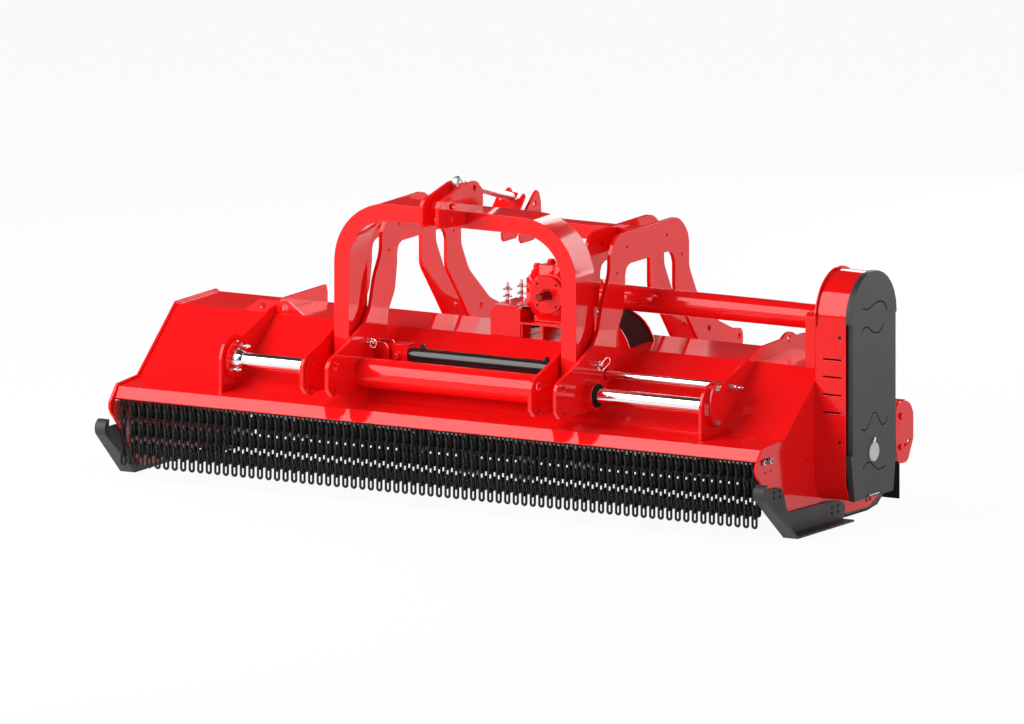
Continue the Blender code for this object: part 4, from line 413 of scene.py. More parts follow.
FINISH_OF = {
    "red_paint": RED,
    "black_paint": BLACK,
    "dark_paint": SKID,
    "chromed_steel": CHROME,
    "worn_steel": STEEL,
    "cast_housing": CAST,
    "bronze_bush": BRONZE,
    "black_rubber": RUBBER,
    "pale_steel": DISC,
}
SLOT_OF = {row["node"]: row["material_slot"] for row in frame["record"]["subparts"]}
PLATE_AXIS = dict.fromkeys(
    (
        "hitch_plate_1",
        "hitch_plate_2",
        "hitch_plate_3",
        "hitch_plate_4",
        "left_rod_plate",
        "right_rod_plate",
        "top_hitch_plate_left",
        "top_hitch_plate_right",
        "tailgate_ear_left",
        "tailgate_ear_right",
        "belt_cover",
        "drive_belt",
        "inspection_disc",
    ),
    0,
)
PLATE_AXIS["front_arch"] = 1
SEEN_RED = ("tailgate_ear_left", "tailgate_ear_right")


# Chain rows

LINK_PITCH = 0.0366
LINK_WIRE = 0.0114
LINK_WIDTH = 0.0298
CHAIN_ROD_R = 0.007
LINK_DROP = 0.0036
CHAIN_ROD_Z = 0.318
FRONT_CHAIN_Y = -0.611
REAR_CHAIN_Y = -0.563
STRAND_PITCH = 0.0377
CHAIN_MARGIN = 0.050


def primitive(adder, **options):
    """Adds a primitive with nothing else selected, and returns it."""
    for other in bpy.context.view_layer.objects:
        other.select_set(False)
    adder(**options)
    return bpy.context.active_object


def settle(obj, matrix=None):
    """Moves an object's place into its mesh."""
    alone(obj)
    bpy.ops.object.transform_apply(location=True, rotation=True, scale=True)
    if matrix is not None:
        obj.data.transform(matrix)
    return obj


def merged(first, *others):
    alone(first)
    for other in others:
        other.select_set(True)
    bpy.ops.object.join()
    return first


def copied(obj, matrix):
    twin = bpy.data.objects.new(obj.name, obj.data.copy())
    bpy.context.scene.collection.objects.link(twin)
    twin.data.transform(matrix)
    return twin


def move(x, y, z):
    return Matrix.Translation((x, y, z))


def turn(degrees, axis):
    return Matrix.Rotation(math.radians(degrees), 4, axis)


def pick(obj, kind, test):
    """Goes to edit mode with only the vertices, edges or faces that pass a test selected."""
    alone(obj)
    bpy.ops.object.mode_set(mode="EDIT")
    bpy.ops.mesh.select_mode(type=kind)
    bpy.ops.mesh.select_all(action="DESELECT")
    bpy.ops.object.mode_set(mode="OBJECT")
    for item in {"VERT": obj.data.vertices, "EDGE": obj.data.edges, "FACE": obj.data.polygons}[kind]:
        item.select = test(item)
    bpy.ops.object.mode_set(mode="EDIT")


def chain_link():
    """A long link standing in the XZ plane: a ring drawn out along Z."""
    link = primitive(
        bpy.ops.mesh.primitive_torus_add,
        major_segments=12,
        minor_segments=6,
        major_radius=(LINK_WIDTH - LINK_WIRE) / 2,
        minor_radius=LINK_WIRE / 2,
    )
    settle(link, turn(90, "X") @ turn(15, "Z"))
    draw_out = (LINK_PITCH + 2 * LINK_WIRE - LINK_WIDTH) / 2
    for side in (1, -1):
        pick(link, "VERT", lambda vertex: vertex.co.z * side > 0)
        bpy.ops.transform.translate(value=(0, 0, side * draw_out))
        bpy.ops.object.mode_set(mode="OBJECT")
    bpy.ops.object.shade_smooth()
    return link


def repeated(obj, count, offset):
    array = obj.modifiers.new("row", "ARRAY")
    array.count = count
    array.use_relative_offset = False
    array.use_constant_offset = True
    array.constant_offset_displace = offset
    apply_all(obj)
    return obj


def chain_row(node, y, links, shift):
    """Every strand of a row: pairs of crossed links, repeated down and across."""
    low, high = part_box(node)
    count = int((high.x - low.x - 2 * CHAIN_MARGIN) / STRAND_PITCH) + 1
    first = (low.x + high.x) / 2 - STRAND_PITCH * (count - 1) / 2 + shift
    top = CHAIN_ROD_Z + CHAIN_ROD_R - LINK_DROP - LINK_PITCH / 2
    face_on = chain_link()
    edge_on = copied(face_on, move(first, y, top - LINK_PITCH) @ turn(90, "Z"))
    face_on.data.transform(move(first, y, top))
    last = copied(face_on, move(0, 0, -LINK_PITCH * (links - 1))) if links % 2 else None
    row = merged(face_on, edge_on)
    repeated(row, links // 2, (0, 0, -2 * LINK_PITCH))
    if last:
        row = merged(row, last)
    repeated(row, count - (shift > 0), (STRAND_PITCH, 0, 0))
    coated(row, CHAIN)
    row.name = node + "_links"
    return row


def add_chains():
    for node, y, links, shift in (
        ("chain_row_front", FRONT_CHAIN_Y, 7, 0.0),
        ("chain_row_rear", REAR_CHAIN_Y, 6, 0.78 * STRAND_PITCH),
    ):
        low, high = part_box(node)
        stands_for(chain_row(node, y, links, shift), node)
        rod = cylinder((low.x, y, CHAIN_ROD_Z), (high.x, y, CHAIN_ROD_Z), CHAIN_ROD_R, 24)
        extra(rod, node + "_rod", CHAIN, node, 0.001)
        nut = lathe((high.x - 0.0135, y, CHAIN_ROD_Z), (1, 0, 0), ROD_NUT, 6)
        extra(nut, node + "_nut", SATIN, node)
        nut = lathe((low.x + 0.0135, y, CHAIN_ROD_Z), (-1, 0, 0), ROD_NUT, 6)
        extra(nut, node + "_far_nut", SATIN, node)


# Round and boxed forms

ROD_NUT = ((0.0, 0.0), (0.0, 0.0125), (0.011, 0.0125), (0.0125, 0.011), (0.0125, 0.0))
WASHERED_HEAD = ((0.0, 0.0), (0.0, 1.9), (0.30, 1.9), (0.30, 1.45), (1.35, 1.45), (1.5, 1.2), (1.5, 0.0))


def cylinder(start, end, radius, sides=48):
    span = Vector(end) - Vector(start)
    obj = primitive(bpy.ops.mesh.primitive_cylinder_add, vertices=sides, radius=radius, depth=span.length)
    facing = span.to_track_quat("Z", "Y").to_matrix().to_4x4()
    return settle(obj, Matrix.Translation((Vector(start) + Vector(end)) / 2) @ facing)


def box(low, high):
    low, high = Vector(low), Vector(high)
    obj = primitive(bpy.ops.mesh.primitive_cube_add, size=1.0)
    return settle(obj, Matrix.Translation((low + high) / 2) @ Matrix.Diagonal((*(high - low), 1.0)))


def lathe(start, direction, profile, steps=48, closed=False):
    """A turned form: (distance, radius) points spun once round a line."""
    along = Vector(direction).normalized()
    aside = along.orthogonal().normalized()
    points = [Vector(start) + along * distance + aside * radius for distance, radius in profile]
    edges = [(i, i + 1) for i in range(len(points) - 1)]
    if closed:
        edges.append((len(points) - 1, 0))
    mesh = bpy.data.meshes.new("lathe")
    mesh.from_pydata(points, edges, [])
    obj = bpy.data.objects.new("lathe", mesh)
    bpy.context.scene.collection.objects.link(obj)
    alone(obj)
    bpy.ops.object.mode_set(mode="EDIT")
    bpy.ops.mesh.select_all(action="SELECT")
    bpy.ops.mesh.spin(steps=steps, angle=2 * math.pi, center=start, axis=along)
    bpy.ops.mesh.select_all(action="SELECT")
    bpy.ops.mesh.remove_doubles(threshold=0.00001)
    bpy.ops.mesh.normals_make_consistent(inside=False)
    bpy.ops.object.mode_set(mode="OBJECT")
    return obj


def slab(axis, outline, low, high):
    """A flat outline, extruded between two distances along an axis."""
    mesh = bpy.data.meshes.new("slab")
    points = [in_space(axis, point, low) for point in outline]
    mesh.from_pydata(points, [], [list(range(len(points)))])
    obj = bpy.data.objects.new("slab", mesh)
    bpy.context.scene.collection.objects.link(obj)
    alone(obj)
    bpy.ops.object.mode_set(mode="EDIT")
    bpy.ops.mesh.select_all(action="SELECT")
    offset = in_space(axis, (0.0, 0.0), high - low)
    bpy.ops.mesh.extrude_region_move(TRANSFORM_OT_translate={"value": offset})
    bpy.ops.mesh.select_all(action="SELECT")
    bpy.ops.mesh.normals_make_consistent(inside=False)
    bpy.ops.object.mode_set(mode="OBJECT")
    return obj


def in_space(axis, flat, along):
    a, b = flat
    return {"X": (along, a, b), "Y": (a, along, b), "Z": (a, b, along)}[axis]


def hex_bolt(place, direction, radius):
    """A hexagon head on its washer, sized from the bolt's radius."""
    place = Vector(place)
    washer = [(d * radius, r * radius) for d, r in WASHERED_HEAD[:4]] + [(0.3 * radius, 0.0)]
    head = [(d * radius, r * radius) for d, r in WASHERED_HEAD[3:]]
    base = lathe(place, direction, washer, 24)
    top = lathe(place, direction, [(0.28 * radius, 0.0), (0.28 * radius, 1.45 * radius), *head[1:]], 6)
    return merged(base, top)


def bolts(name, places, direction, radius, node, material=ZINC):
    """A group of identical bolts as one piece."""
    heads = [hex_bolt(place, direction, radius) for place in places]
    group = merged(*heads)
    return extra(group, name, material, node, 0.0005)


# Guide rod, its ends, and the side-shift cylinder

GUIDE_Y = -0.465
GUIDE_Z = 0.485
CYLINDER_Y = -0.335
CYLINDER_Z = 0.544


def add_guide():
    low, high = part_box("guide_rod")
    rod = cylinder((low.x, GUIDE_Y, GUIDE_Z), (high.x, GUIDE_Y, GUIDE_Z), 0.030, 64)
    remade(rod, "guide_rod", CHROME, 0.002)
    low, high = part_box("guide_tube")
    length = high.x - low.x
    tube = [(0, 0.0495), (0, 0.0575), (length, 0.0575), (length, 0.0495)]
    form = lathe((low.x, GUIDE_Y, GUIDE_Z), (1, 0, 0), tube, 64, closed=True)
    remade(form, "guide_tube", RED, 0.002)
    for side, outward in (("left", -1), ("right", 1)):
        low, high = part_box("guide_seal_" + side)
        face = high.x if outward < 0 else low.x
        depth = high.x - low.x
        ring = [(0, 0.0305), (0, 0.046), (0.5 * depth, 0.046), (depth, 0.043), (depth, 0.034), (0.6 * depth, 0.0305)]
        form = lathe((face, GUIDE_Y, GUIDE_Z), (outward, 0, 0), ring, 48, closed=True)
        remade(form, "guide_seal_" + side, RUBBER, 0.0004)
        low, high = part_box("guide_bush_" + side)
        face = low.x if outward < 0 else high.x
        depth = high.x - low.x
        bush = [(0, 0.0305), (0, 0.0492), (depth, 0.0492), (depth, 0.0305)]
        form = lathe((face, GUIDE_Y, GUIDE_Z), (-outward, 0, 0), bush, 48, closed=True)
        remade(form, "guide_bush_" + side, BRONZE, 0.0006)


def add_rod_ends():
    low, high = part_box("rod_flange")
    disc = [(0, 0.0303), (0, 0.073), (0.012, 0.073), (0.016, 0.069), (0.016, 0.0303)]
    flange = lathe((low.x, GUIDE_Y, GUIDE_Z), (1, 0, 0), disc, 64, closed=True)
    remade(flange, "rod_flange", RED, 0.0008)
    collar = [(0, 0.0303), (0, 0.044), (0.005, 0.044), (0.007, 0.040), (0.032, 0.034), (0.036, 0.0303)]
    form = lathe((low.x + 0.0162, GUIDE_Y, GUIDE_Z), (1, 0, 0), collar, 64, closed=True)
    extra(form, "rod_collar", CHROME, "rod_flange", 0.001)
    studs = []
    for angle in (62, 213, 330):
        y, z = on_circle((GUIDE_Y, GUIDE_Z), 0.0560, angle)
        studs.append(cylinder((low.x + 0.010, y, z), (high.x + 0.014, y, z), 0.0045, 16))
        studs.append(hex_bolt((high.x - 0.004, y, z), (1, 0, 0), 0.0062))
        studs.append(hex_bolt((low.x + 0.016, y, z), (1, 0, 0), 0.0062))
    extra(merged(*studs), "rod_flange_bolts", ZINC, "rod_flange", 0.0005)
    low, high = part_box("rod_cap")
    centre = (GUIDE_Y - 0.004, GUIDE_Z + 0.009)
    oval = [(centre[0] + CAP_HALF[0] * math.cos(a), centre[1] + CAP_HALF[1] * math.sin(a)) for a in ring(64)]
    remade(slab("X", oval, low.x + 0.010, low.x + 0.022), "rod_cap", RED, 0.0015)
    small = [(centre[0] + 0.93 * (y - centre[0]), centre[1] + 0.93 * (z - centre[1])) for y, z in oval]
    extra(slab("X", small, low.x, low.x + 0.0105), "rod_cap_spacer", CHROME, "rod_cap", 0.0008)
    places = [(low.x + 0.022, centre[0] - 0.006, centre[1] + up) for up in (0.067, -0.067)]
    bolts("rod_cap_bolts", places, (1, 0, 0), 0.0078, "rod_cap")


CAP_HALF = (0.056, 0.084)


def ring(steps, start=0.0, end=360.0):
    """Angles round a circle in radians; the end angle is left out of a whole turn."""
    whole = abs(end - start) >= 360.0
    return [math.radians(start + (end - start) * i / (steps if whole else steps - 1)) for i in range(steps)]


def on_circle(centre, radius, angle):
    turn_by = math.radians(angle)
    return (centre[0] + radius * math.cos(turn_by), centre[1] + radius * math.sin(turn_by))


def add_cylinder():
    low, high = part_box("shift_barrel")
    end = high.x - low.x
    body = [
        (0, 0.0),
        (0, 0.024),
        (0.004, 0.028),
        (0.022, 0.030),
        (end - 0.045, 0.030),
        (end - 0.043, 0.033),
        (end - 0.012, 0.033),
        (end - 0.010, 0.030),
        (end, 0.028),
        (end, 0.0165),
        (end - 0.035, 0.0165),
        (end - 0.035, 0.025),
        (0.020, 0.025),
        (0.020, 0.0),
    ]
    barrel = lathe((low.x, CYLINDER_Y, CYLINDER_Z), (1, 0, 0), body, 64)
    remade(barrel, "shift_barrel", BLACK, 0.0008)
    ports = []
    for x in (low.x + 0.053, high.x - 0.070):
        base = CYLINDER_Z + 0.0295
        boss = [(0, 0.0), (0, 0.011), (0.007, 0.011), (0.007, 0.0), (0.007, 0.0)]
        ports.append(lathe((x, CYLINDER_Y, base), (0, 0, 1), boss[:4], 24))
        plug = [(0.006, 0.0), (0.006, 0.009), (0.0145, 0.009), (0.016, 0.007), (0.016, 0.0)]
        ports.append(lathe((x, CYLINDER_Y, base), (0, 0, 1), plug, 6))
    extra(merged(*ports), "barrel_ports", BLACK, "shift_barrel", 0.0005)
    low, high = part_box("piston_rod")
    end = high.x - low.x
    rod = [
        (0, 0.0),
        (0, 0.0245),
        (0.030, 0.0245),
        (0.030, 0.016),
        (end - 0.030, 0.016),
        (end - 0.028, 0.0085),
        (end, 0.0085),
        (end, 0.0),
    ]
    form = lathe((low.x, CYLINDER_Y, CYLINDER_Z), (1, 0, 0), rod, 48)
    remade(form, "piston_rod", CHROME, 0.0006)
    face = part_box("right_rod_plate")[1].x
    stud = cylinder((face, CYLINDER_Y, CYLINDER_Z), (face + 0.058, CYLINDER_Y, CYLINDER_Z), 0.0035, 16)
    washer = cylinder((face + 0.026, CYLINDER_Y, CYLINDER_Z), (face + 0.029, CYLINDER_Y, CYLINDER_Z), 0.013, 32)
    nuts = [hex_bolt((face + along, CYLINDER_Y, CYLINDER_Z), (1, 0, 0), size) for along, size in ((0.0, 0.0075), (0.046, 0.0050))]
    extra(merged(stud, washer, *nuts), "piston_rod_stud", ZINC, "piston_rod", 0.0004)


# Drive line

ROTOR_Y = -0.030
ROTOR_Z = 0.2845
DRIVE_Z = 0.789


def add_drive():
    low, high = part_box("drive_tube")
    length = high.x - low.x
    tube = [
        (0, 0.043),
        (0, 0.062),
        (0.012, 0.062),
        (0.014, 0.058),
        (0.022, 0.050),
        (0.024, 0.049),
        (length - 0.006, 0.049),
        (length, 0.053),
        (length, 0.043),
    ]
    form = lathe((low.x, ROTOR_Y, DRIVE_Z), (1, 0, 0), tube, 64, closed=True)
    remade(form, "drive_tube", RED, 0.0008)
    places = [(low.x + 0.012, *on_circle((ROTOR_Y, DRIVE_Z), 0.0555, 22.5 + 45 * i)) for i in range(8)]
    bolts("drive_tube_bolts", places, (1, 0, 0), 0.0035, "drive_tube")
    for node, radius in (("drive_shaft", 0.020),):
        low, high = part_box(node)
        form = cylinder((low.x, ROTOR_Y, DRIVE_Z), (high.x, ROTOR_Y, DRIVE_Z), radius, 48)
        remade(form, node, STEEL, 0.0015)
    for side, outward in (("left", -1), ("right", 1)):
        low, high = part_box("rotor_bearing_" + side)
        face = high.x if outward < 0 else low.x
        depth = high.x - low.x
        ring = [
            (0, 0.0311),
            (0, 0.085),
            (0.012, 0.085),
            (0.018, 0.062),
            (depth - 0.004, 0.056),
            (depth, 0.050),
            (depth, 0.0311),
        ]
        form = lathe((face, ROTOR_Y, ROTOR_Z), (outward, 0, 0), ring, 48, closed=True)
        remade(form, "rotor_bearing_" + side, CAST, 0.001)
        rim = face + outward * 0.012
        places = [(rim, *on_circle((ROTOR_Y, ROTOR_Z), 0.073, 45 + 90 * i)) for i in range(4)]
        bolts("bearing_bolts_" + side, places, (outward, 0, 0), 0.006, "rotor_bearing_" + side)


def cut_corners(centre, half, cut):
    """A box outline round a centre with its four corners cut off."""
    x, z = centre
    wide, tall = half
    points = []
    for right, up in ((1, 1), (-1, 1), (-1, -1), (1, -1)):
        pair = [(x + right * wide, z + up * (tall - cut)), (x + right * (wide - cut), z + up * tall)]
        points += pair if right * up > 0 else pair[::-1]
    return points


def drawn_in(obj, side, length, shrink):
    """Draws out the faces that look one way along Y, and narrows them into a chamfer."""
    pick(obj, "FACE", lambda face: face.normal.y * side > 0.9)
    bpy.ops.mesh.extrude_region_move(TRANSFORM_OT_translate={"value": (0, side * length, 0)})
    bpy.ops.transform.resize(value=(shrink, 1, shrink))
    bpy.ops.object.mode_set(mode="OBJECT")


def add_gearbox():
    """The case with its chamfered covers and bosses, and the two end flanges with their screws."""
    low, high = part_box("gearbox_case")
    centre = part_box("gearbox_flange_front")
    x = (centre[0].x + centre[1].x) / 2
    front, rear = ROTOR_Y - 0.095, ROTOR_Y + 0.095
    case = slab("Y", cut_corners((x, DRIVE_Z), (0.112, 0.111), 0.060), front + 0.024, front + 0.060)
    drawn_in(case, -1, 0.024, 0.70)
    back = slab("Y", cut_corners((x, DRIVE_Z), (0.109, 0.098), 0.024), front + 0.055, rear - 0.016)
    drawn_in(back, 1, 0.016, 0.80)
    reach = high.x - x - 0.05
    neck = lathe((x + 0.05, ROTOR_Y, DRIVE_Z), (1, 0, 0), [(0, 0), (0, 0.062), (reach, 0.062), (reach, 0)], 48)
    foot = box((x - 0.075, ROTOR_Y - 0.075, low.z), (x + 0.075, ROTOR_Y + 0.075, DRIVE_Z - 0.09))
    bosses = []
    for dx, y, radius, top in ((-0.072, -0.080, 0.0175, 0.110), (-0.033, -0.040, 0.0180, 0.124), (0.02, 0.02, 0.016, 0.116)):
        base = cylinder((x + dx, y, DRIVE_Z + 0.070), (x + dx, y, DRIVE_Z + top - 0.006), radius, 32)
        lid = cylinder((x + dx, y, DRIVE_Z + top - 0.008), (x + dx, y, DRIVE_Z + top), radius * 0.8, 32)
        bosses += [base, lid]
    form = merged(case, back, neck, foot, *bosses)
    remade(form, "gearbox_case", RED, 0.003, 3)
    for node, outward, face in (("gearbox_flange_front", -1, front), ("gearbox_flange_rear", 1, rear)):
        start = (x, face + outward * 0.0003, DRIVE_Z)
        ring_line = [(0, 0.0185), (0, 0.074), (0.011, 0.074), (0.014, 0.071), (0.014, 0.026), (0.011, 0.022), (0.011, 0.0185)]
        form = lathe(start, (0, outward, 0), ring_line, 64, closed=True)
        remade(form, node, RED, 0.0008)
        screws = []
        for index in range(4):
            sx, sz = on_circle((x, DRIVE_Z), 0.059, 45 + 90 * index)
            screws.append(socket_head((sx, face + outward * 0.0143, sz), (0, outward, 0), 0.0048))
        extra(merged(*screws), node + "_screws", HOLE_SHADE_BLACK, node, 0.0002)


def socket_head(place, direction, radius):
    """A flat screw head with a recess, lying on a face; the near-black coat it gets is painted shade."""
    line = [(0, 0), (0, 1.0), (0.12, 1.0), (0.18, 0.85), (0.18, 0.5), (-0.2, 0.45), (-0.2, 0)]
    return lathe(place, direction, [(along * radius, out * radius) for along, out in line], 16)


def add_shaft():
    low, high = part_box("input_shaft")
    x = (low.x + high.x) / 2
    shaft = cylinder((x, low.y + 0.056, DRIVE_Z), (x, high.y - 0.056, DRIVE_Z), 0.0174, 48)
    core = cylinder((x, low.y, DRIVE_Z), (x, high.y, DRIVE_Z), 0.0125, 32)
    teeth = []
    for index in range(6):
        tooth = box((-0.0028, low.y + 0.001, 0.010), (0.0028, high.y - 0.001, 0.0165))
        tooth.data.transform(move(x, 0, DRIVE_Z) @ turn(60 * index, "Y"))
        teeth.append(tooth)
    remade(merged(shaft, core, *teeth), "input_shaft", SHAFT_RED, 0.0006)


# Belt case and cover

WAVES = (
    ((-0.114, 0.855), (-0.084, 0.848), (-0.054, 0.852), (-0.024, 0.861), (0.011, 0.866), (0.039, 0.860), (0.059, 0.846), (0.073, 0.823)),
    ((-0.126, 0.758), (-0.116, 0.772), (-0.094, 0.780), (-0.069, 0.773), (-0.044, 0.757), (-0.014, 0.746), (0.019, 0.749), (0.049, 0.772)),
    ((-0.131, 0.393), (-0.114, 0.380), (-0.089, 0.380), (-0.064, 0.401), (-0.036, 0.435), (-0.009, 0.432), (0.011, 0.405), (0.036, 0.381), (0.061, 0.383), (0.078, 0.407)),
    ((-0.114, 0.225), (-0.101, 0.240), (-0.076, 0.249), (-0.049, 0.242), (-0.019, 0.221), (0.011, 0.209), (0.041, 0.211), (0.059, 0.217)),
)
SLOT_HALF = 0.0021


def eased(line, steps=4):
    """A smooth line through points."""
    ends = [line[0], *line, line[-1]]
    points = []
    for a, b, c, d in zip(ends, ends[1:], ends[2:], ends[3:]):
        for step in range(steps):
            t = step / steps
            points.append(tuple(
                0.5 * (2 * q + (r - p) * t + (2 * p - 5 * q + 4 * r - s) * t * t + (3 * q - p - 3 * r + s) * t ** 3)
                for p, q, r, s in zip(a, b, c, d)
            ))
    return [*points, line[-1]]


def beside(line, distance):
    """The line moved sideways, to the left of its run."""
    moved = []
    for index, point in enumerate(line):
        before, after = line[max(index - 1, 0)], line[min(index + 1, len(line) - 1)]
        a = Vector(point) - Vector(before)
        b = Vector(after) - Vector(point)
        run = (a.normalized() + b.normalized()).normalized()
        widen = 1.0 / max(0.5, run.dot(b.normalized() if b.length else a.normalized()))
        moved.append((point[0] - run.y * distance * widen, point[1] + run.x * distance * widen))
    return moved


def band(line, thick):
    """A strip's outline: a line and the same line moved sideways."""
    return [*line, *beside(line, thick)[::-1]]


def cut_by(obj, cutters):
    """Cuts holes in a form."""
    tool = merged(*cutters)
    cut = obj.modifiers.new("cut", "BOOLEAN")
    cut.operation = "DIFFERENCE"
    cut.solver = "EXACT"
    cut.use_self = True
    cut.object = tool
    apply_all(obj)
    bpy.data.objects.remove(tool)
    return obj


def add_cover():
    """The dark cover with its wavy slots, the disc on it, and the small screws round it."""
    low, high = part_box("belt_cover")
    cover = copy_of_node("belt_cover")
    cutters = []
    for wave in WAVES:
        line = eased(wave)
        outline = [*beside(line, SLOT_HALF), *beside(line, -SLOT_HALF)[::-1]]
        cutters.append(slab("X", outline, high.x - 0.012, high.x + 0.010))
    remade(cut_by(cover, cutters), "belt_cover", COVER, 0.0008, 1)
    face = high.x
    screws = [socket_head((face, y, z), (1, 0, 0), 0.006) for y, z in ((-0.072, 0.120), (0.018, 0.118))]
    extra(merged(*screws), "cover_screws", HOLE_SHADE_BLACK, "belt_cover", 0.0002)
    bar = box((face, -0.066, 0.1165), (face + 0.0016, 0.012, 0.1205))
    extra(bar, "cover_latch", ZINC, "belt_cover", 0.0004)
    low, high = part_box("inspection_disc")
    disc_line = [(0, 0), (0, 0.0375), (0.0022, 0.0375), (0.003, 0.0365), (0.003, 0)]
    disc = lathe((low.x, ROTOR_Y, ROTOR_Z), (1, 0, 0), disc_line, 64)
    tab = box((low.x, ROTOR_Y - 0.0095, ROTOR_Z), (low.x + 0.0028, ROTOR_Y + 0.0095, ROTOR_Z + 0.046))
    remade(merged(disc, tab), "inspection_disc", DISC, 0.0004)
    pin_line = [(0, 0), (0, 0.0095), (0.001, 0.0095), (0.0019, 0.007), (0.0019, 0)]
    pin = lathe((low.x + 0.003, ROTOR_Y, ROTOR_Z + 0.046), (1, 0, 0), pin_line, 24)
    extra(pin, "disc_pin", ZINC, "belt_cover", 0.0003)


def add_case_detail():
    """The rim of the case's back plate and the screws on its front."""
    low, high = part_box("belt_case")
    top = 0.812
    outer = [(ROTOR_Y + 0.184 * math.cos(a), top + 0.184 * math.sin(a)) for a in ring(40, -8, 188)]
    inner = [(ROTOR_Y + 0.168 * math.cos(a), top + 0.168 * math.sin(a)) for a in ring(40, 188, -8)]
    extra(slab("X", outer + inner, low.x + 0.0005, low.x + 0.0065), "case_rim", RED, "belt_case", 0.001)
    screws = [socket_head((1.491, low.y, z), (0, -1, 0), 0.007) for z in (0.7516, 0.343)]
    screws += [socket_head((1.3827, y, 0.045), (1, 0, 0), 0.0075) for y in (0.195, 0.223)]
    extra(merged(*screws), "case_screws", HOLE_SHADE_BLACK, "belt_case", 0.0002)


def add_stand():
    """The table under the gearbox, the chamfered pedestal beside it, and the studs on that."""
    low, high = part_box("gearbox_stand")
    left = low.x + 0.126
    pedestal_top = low.z + 0.116
    rear = high.y
    top = box((left, low.y, 0.667), (high.x, rear, 0.675))
    legs = []
    for x in (left + 0.006, left + 0.098, high.x - 0.014):
        legs.append(box((x, low.y + 0.006, low.z), (x + 0.008, rear - 0.006, 0.671)))
    outline = [
        (low.x, low.z),
        (left + 0.006, low.z),
        (left + 0.006, pedestal_top - 0.012),
        (left - 0.006, pedestal_top),
        (low.x + 0.018, pedestal_top),
        (low.x, pedestal_top - 0.022),
    ]
    pedestal = slab("Y", outline, low.y + 0.002, low.y + 0.170)
    lid = box((low.x + 0.016, low.y - 0.002, pedestal_top), (left - 0.008, low.y + 0.172, pedestal_top + 0.005))
    remade(merged(top, pedestal, lid, *legs), "gearbox_stand", RED, 0.0015)
    studs = []
    for x, y in ((left - 0.090, low.y + 0.074), (left - 0.075, low.y + 0.157)):
        studs.append(cylinder((x, y, pedestal_top), (x, y, pedestal_top + 0.080), 0.0048, 16))
        studs.append(lathe((x, y, pedestal_top + 0.005), (0, 0, 1), [(0, 0), (0, 0.010), (0.009, 0.010), (0.009, 0)], 6))
        for height in (0.024, 0.052):
            base = (x, y, pedestal_top + height)
            washer = [(0, 0), (0, 0.019), (0.003, 0.019), (0.003, 0)]
            studs.append(lathe(base, (0, 0, 1), washer, 24))
            nut = [(0.003, 0), (0.003, 0.0105), (0.012, 0.0105), (0.012, 0)]
            studs.append(lathe(base, (0, 0, 1), nut, 6))
    extra(merged(*studs), "pedestal_studs", ZINC, "gearbox_stand", 0.0005)
    blocks = [box((left + 0.040, low.y + 0.010, 0.654), (left + 0.062, low.y + 0.050, 0.667))]
    blocks.append(box((left + 0.066, low.y + 0.014, 0.658), (left + 0.078, low.y + 0.040, 0.667)))
    blocks.append(box((left - 0.002, low.y + 0.030, pedestal_top - 0.008), (left + 0.030, low.y + 0.040, pedestal_top - 0.001)))
    extra(merged(*blocks), "stand_pads", RUBBER, "gearbox_stand", 0.001)


def add_saddle():
    """The half drum that stands on the hood under the drive tube: a front plate, a wall in near-black red as painted
    shade, and a rear rim.
    """
    foot = 0.6145
    centre = (0.371, 0.575)
    arc = ring(41, 14.5, 165.5)
    outer = [(centre[0] + 0.158 * math.cos(a), centre[1] + 0.158 * math.sin(a)) for a in arc]
    plate = slab("Y", outer, -0.142, -0.134)
    rim = slab("Y", [*outer, *[(centre[0] + 0.150 * math.cos(a), centre[1] + 0.150 * math.sin(a)) for a in arc[::-1]]], 0.052, 0.060)
    extra(merged(plate, rim), "tube_saddle", RED, "belt_case", 0.0012)
    wall = [(centre[0] + 0.153 * math.cos(a), max(foot, centre[1] + 0.153 * math.sin(a))) for a in arc]
    skin = slab("Y", [*wall, *[(centre[0] + 0.147 * math.cos(a), max(foot, centre[1] + 0.147 * math.sin(a))) for a in arc[::-1]]], -0.135, 0.054)
    # The wall's near-black red is painted shade.
    extra(skin, "saddle_wall", SHADE_PAINTED_RED, "belt_case", 0.0005)


def add_clevis():
    """The lugs that hold the closed end of the barrel, with their pin and bolt."""
    low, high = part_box("barrel_bracket")
    cheek = [
        (low.x, low.z),
        (low.x + 0.066, low.z),
        (low.x + 0.066, low.z + 0.046),
        (low.x + 0.046, high.z),
        (low.x, high.z),
    ]
    front = slab("Y", cheek, low.y, low.y + 0.010)
    rear = slab("Y", cheek, high.y - 0.010, high.y)
    eye = box((low.x + 0.030, CYLINDER_Y - 0.012, low.z + 0.010), (low.x + 0.090, CYLINDER_Y + 0.012, high.z - 0.010))
    block = box((low.x + 0.079, low.y + 0.005, low.z + 0.004), (high.x, high.y - 0.005, high.z - 0.002))
    pin = cylinder((low.x + 0.044, low.y + 0.0005, CYLINDER_Z), (low.x + 0.044, high.y - 0.0005, CYLINDER_Z), 0.012, 32)
    bolt = hex_bolt((low.x + 0.101, low.y + 0.0055, CYLINDER_Z - 0.003), (0, -1, 0), 0.0100)
    remade(merged(front, rear, eye, block, pin, bolt), "barrel_bracket", RED, 0.0015)


def loop_handle(centre, half, wire, length):
    """A round wire bent into a long closed loop that stands in the XZ plane."""
    loop = primitive(
        bpy.ops.mesh.primitive_torus_add,
        major_segments=32,
        minor_segments=12,
        major_radius=half,
        minor_radius=wire,
    )
    settle(loop, turn(90, "X"))
    pick(loop, "VERT", lambda vertex: vertex.co.z > 0)
    bpy.ops.transform.translate(value=(0, 0, length))
    bpy.ops.object.mode_set(mode="OBJECT")
    return loop


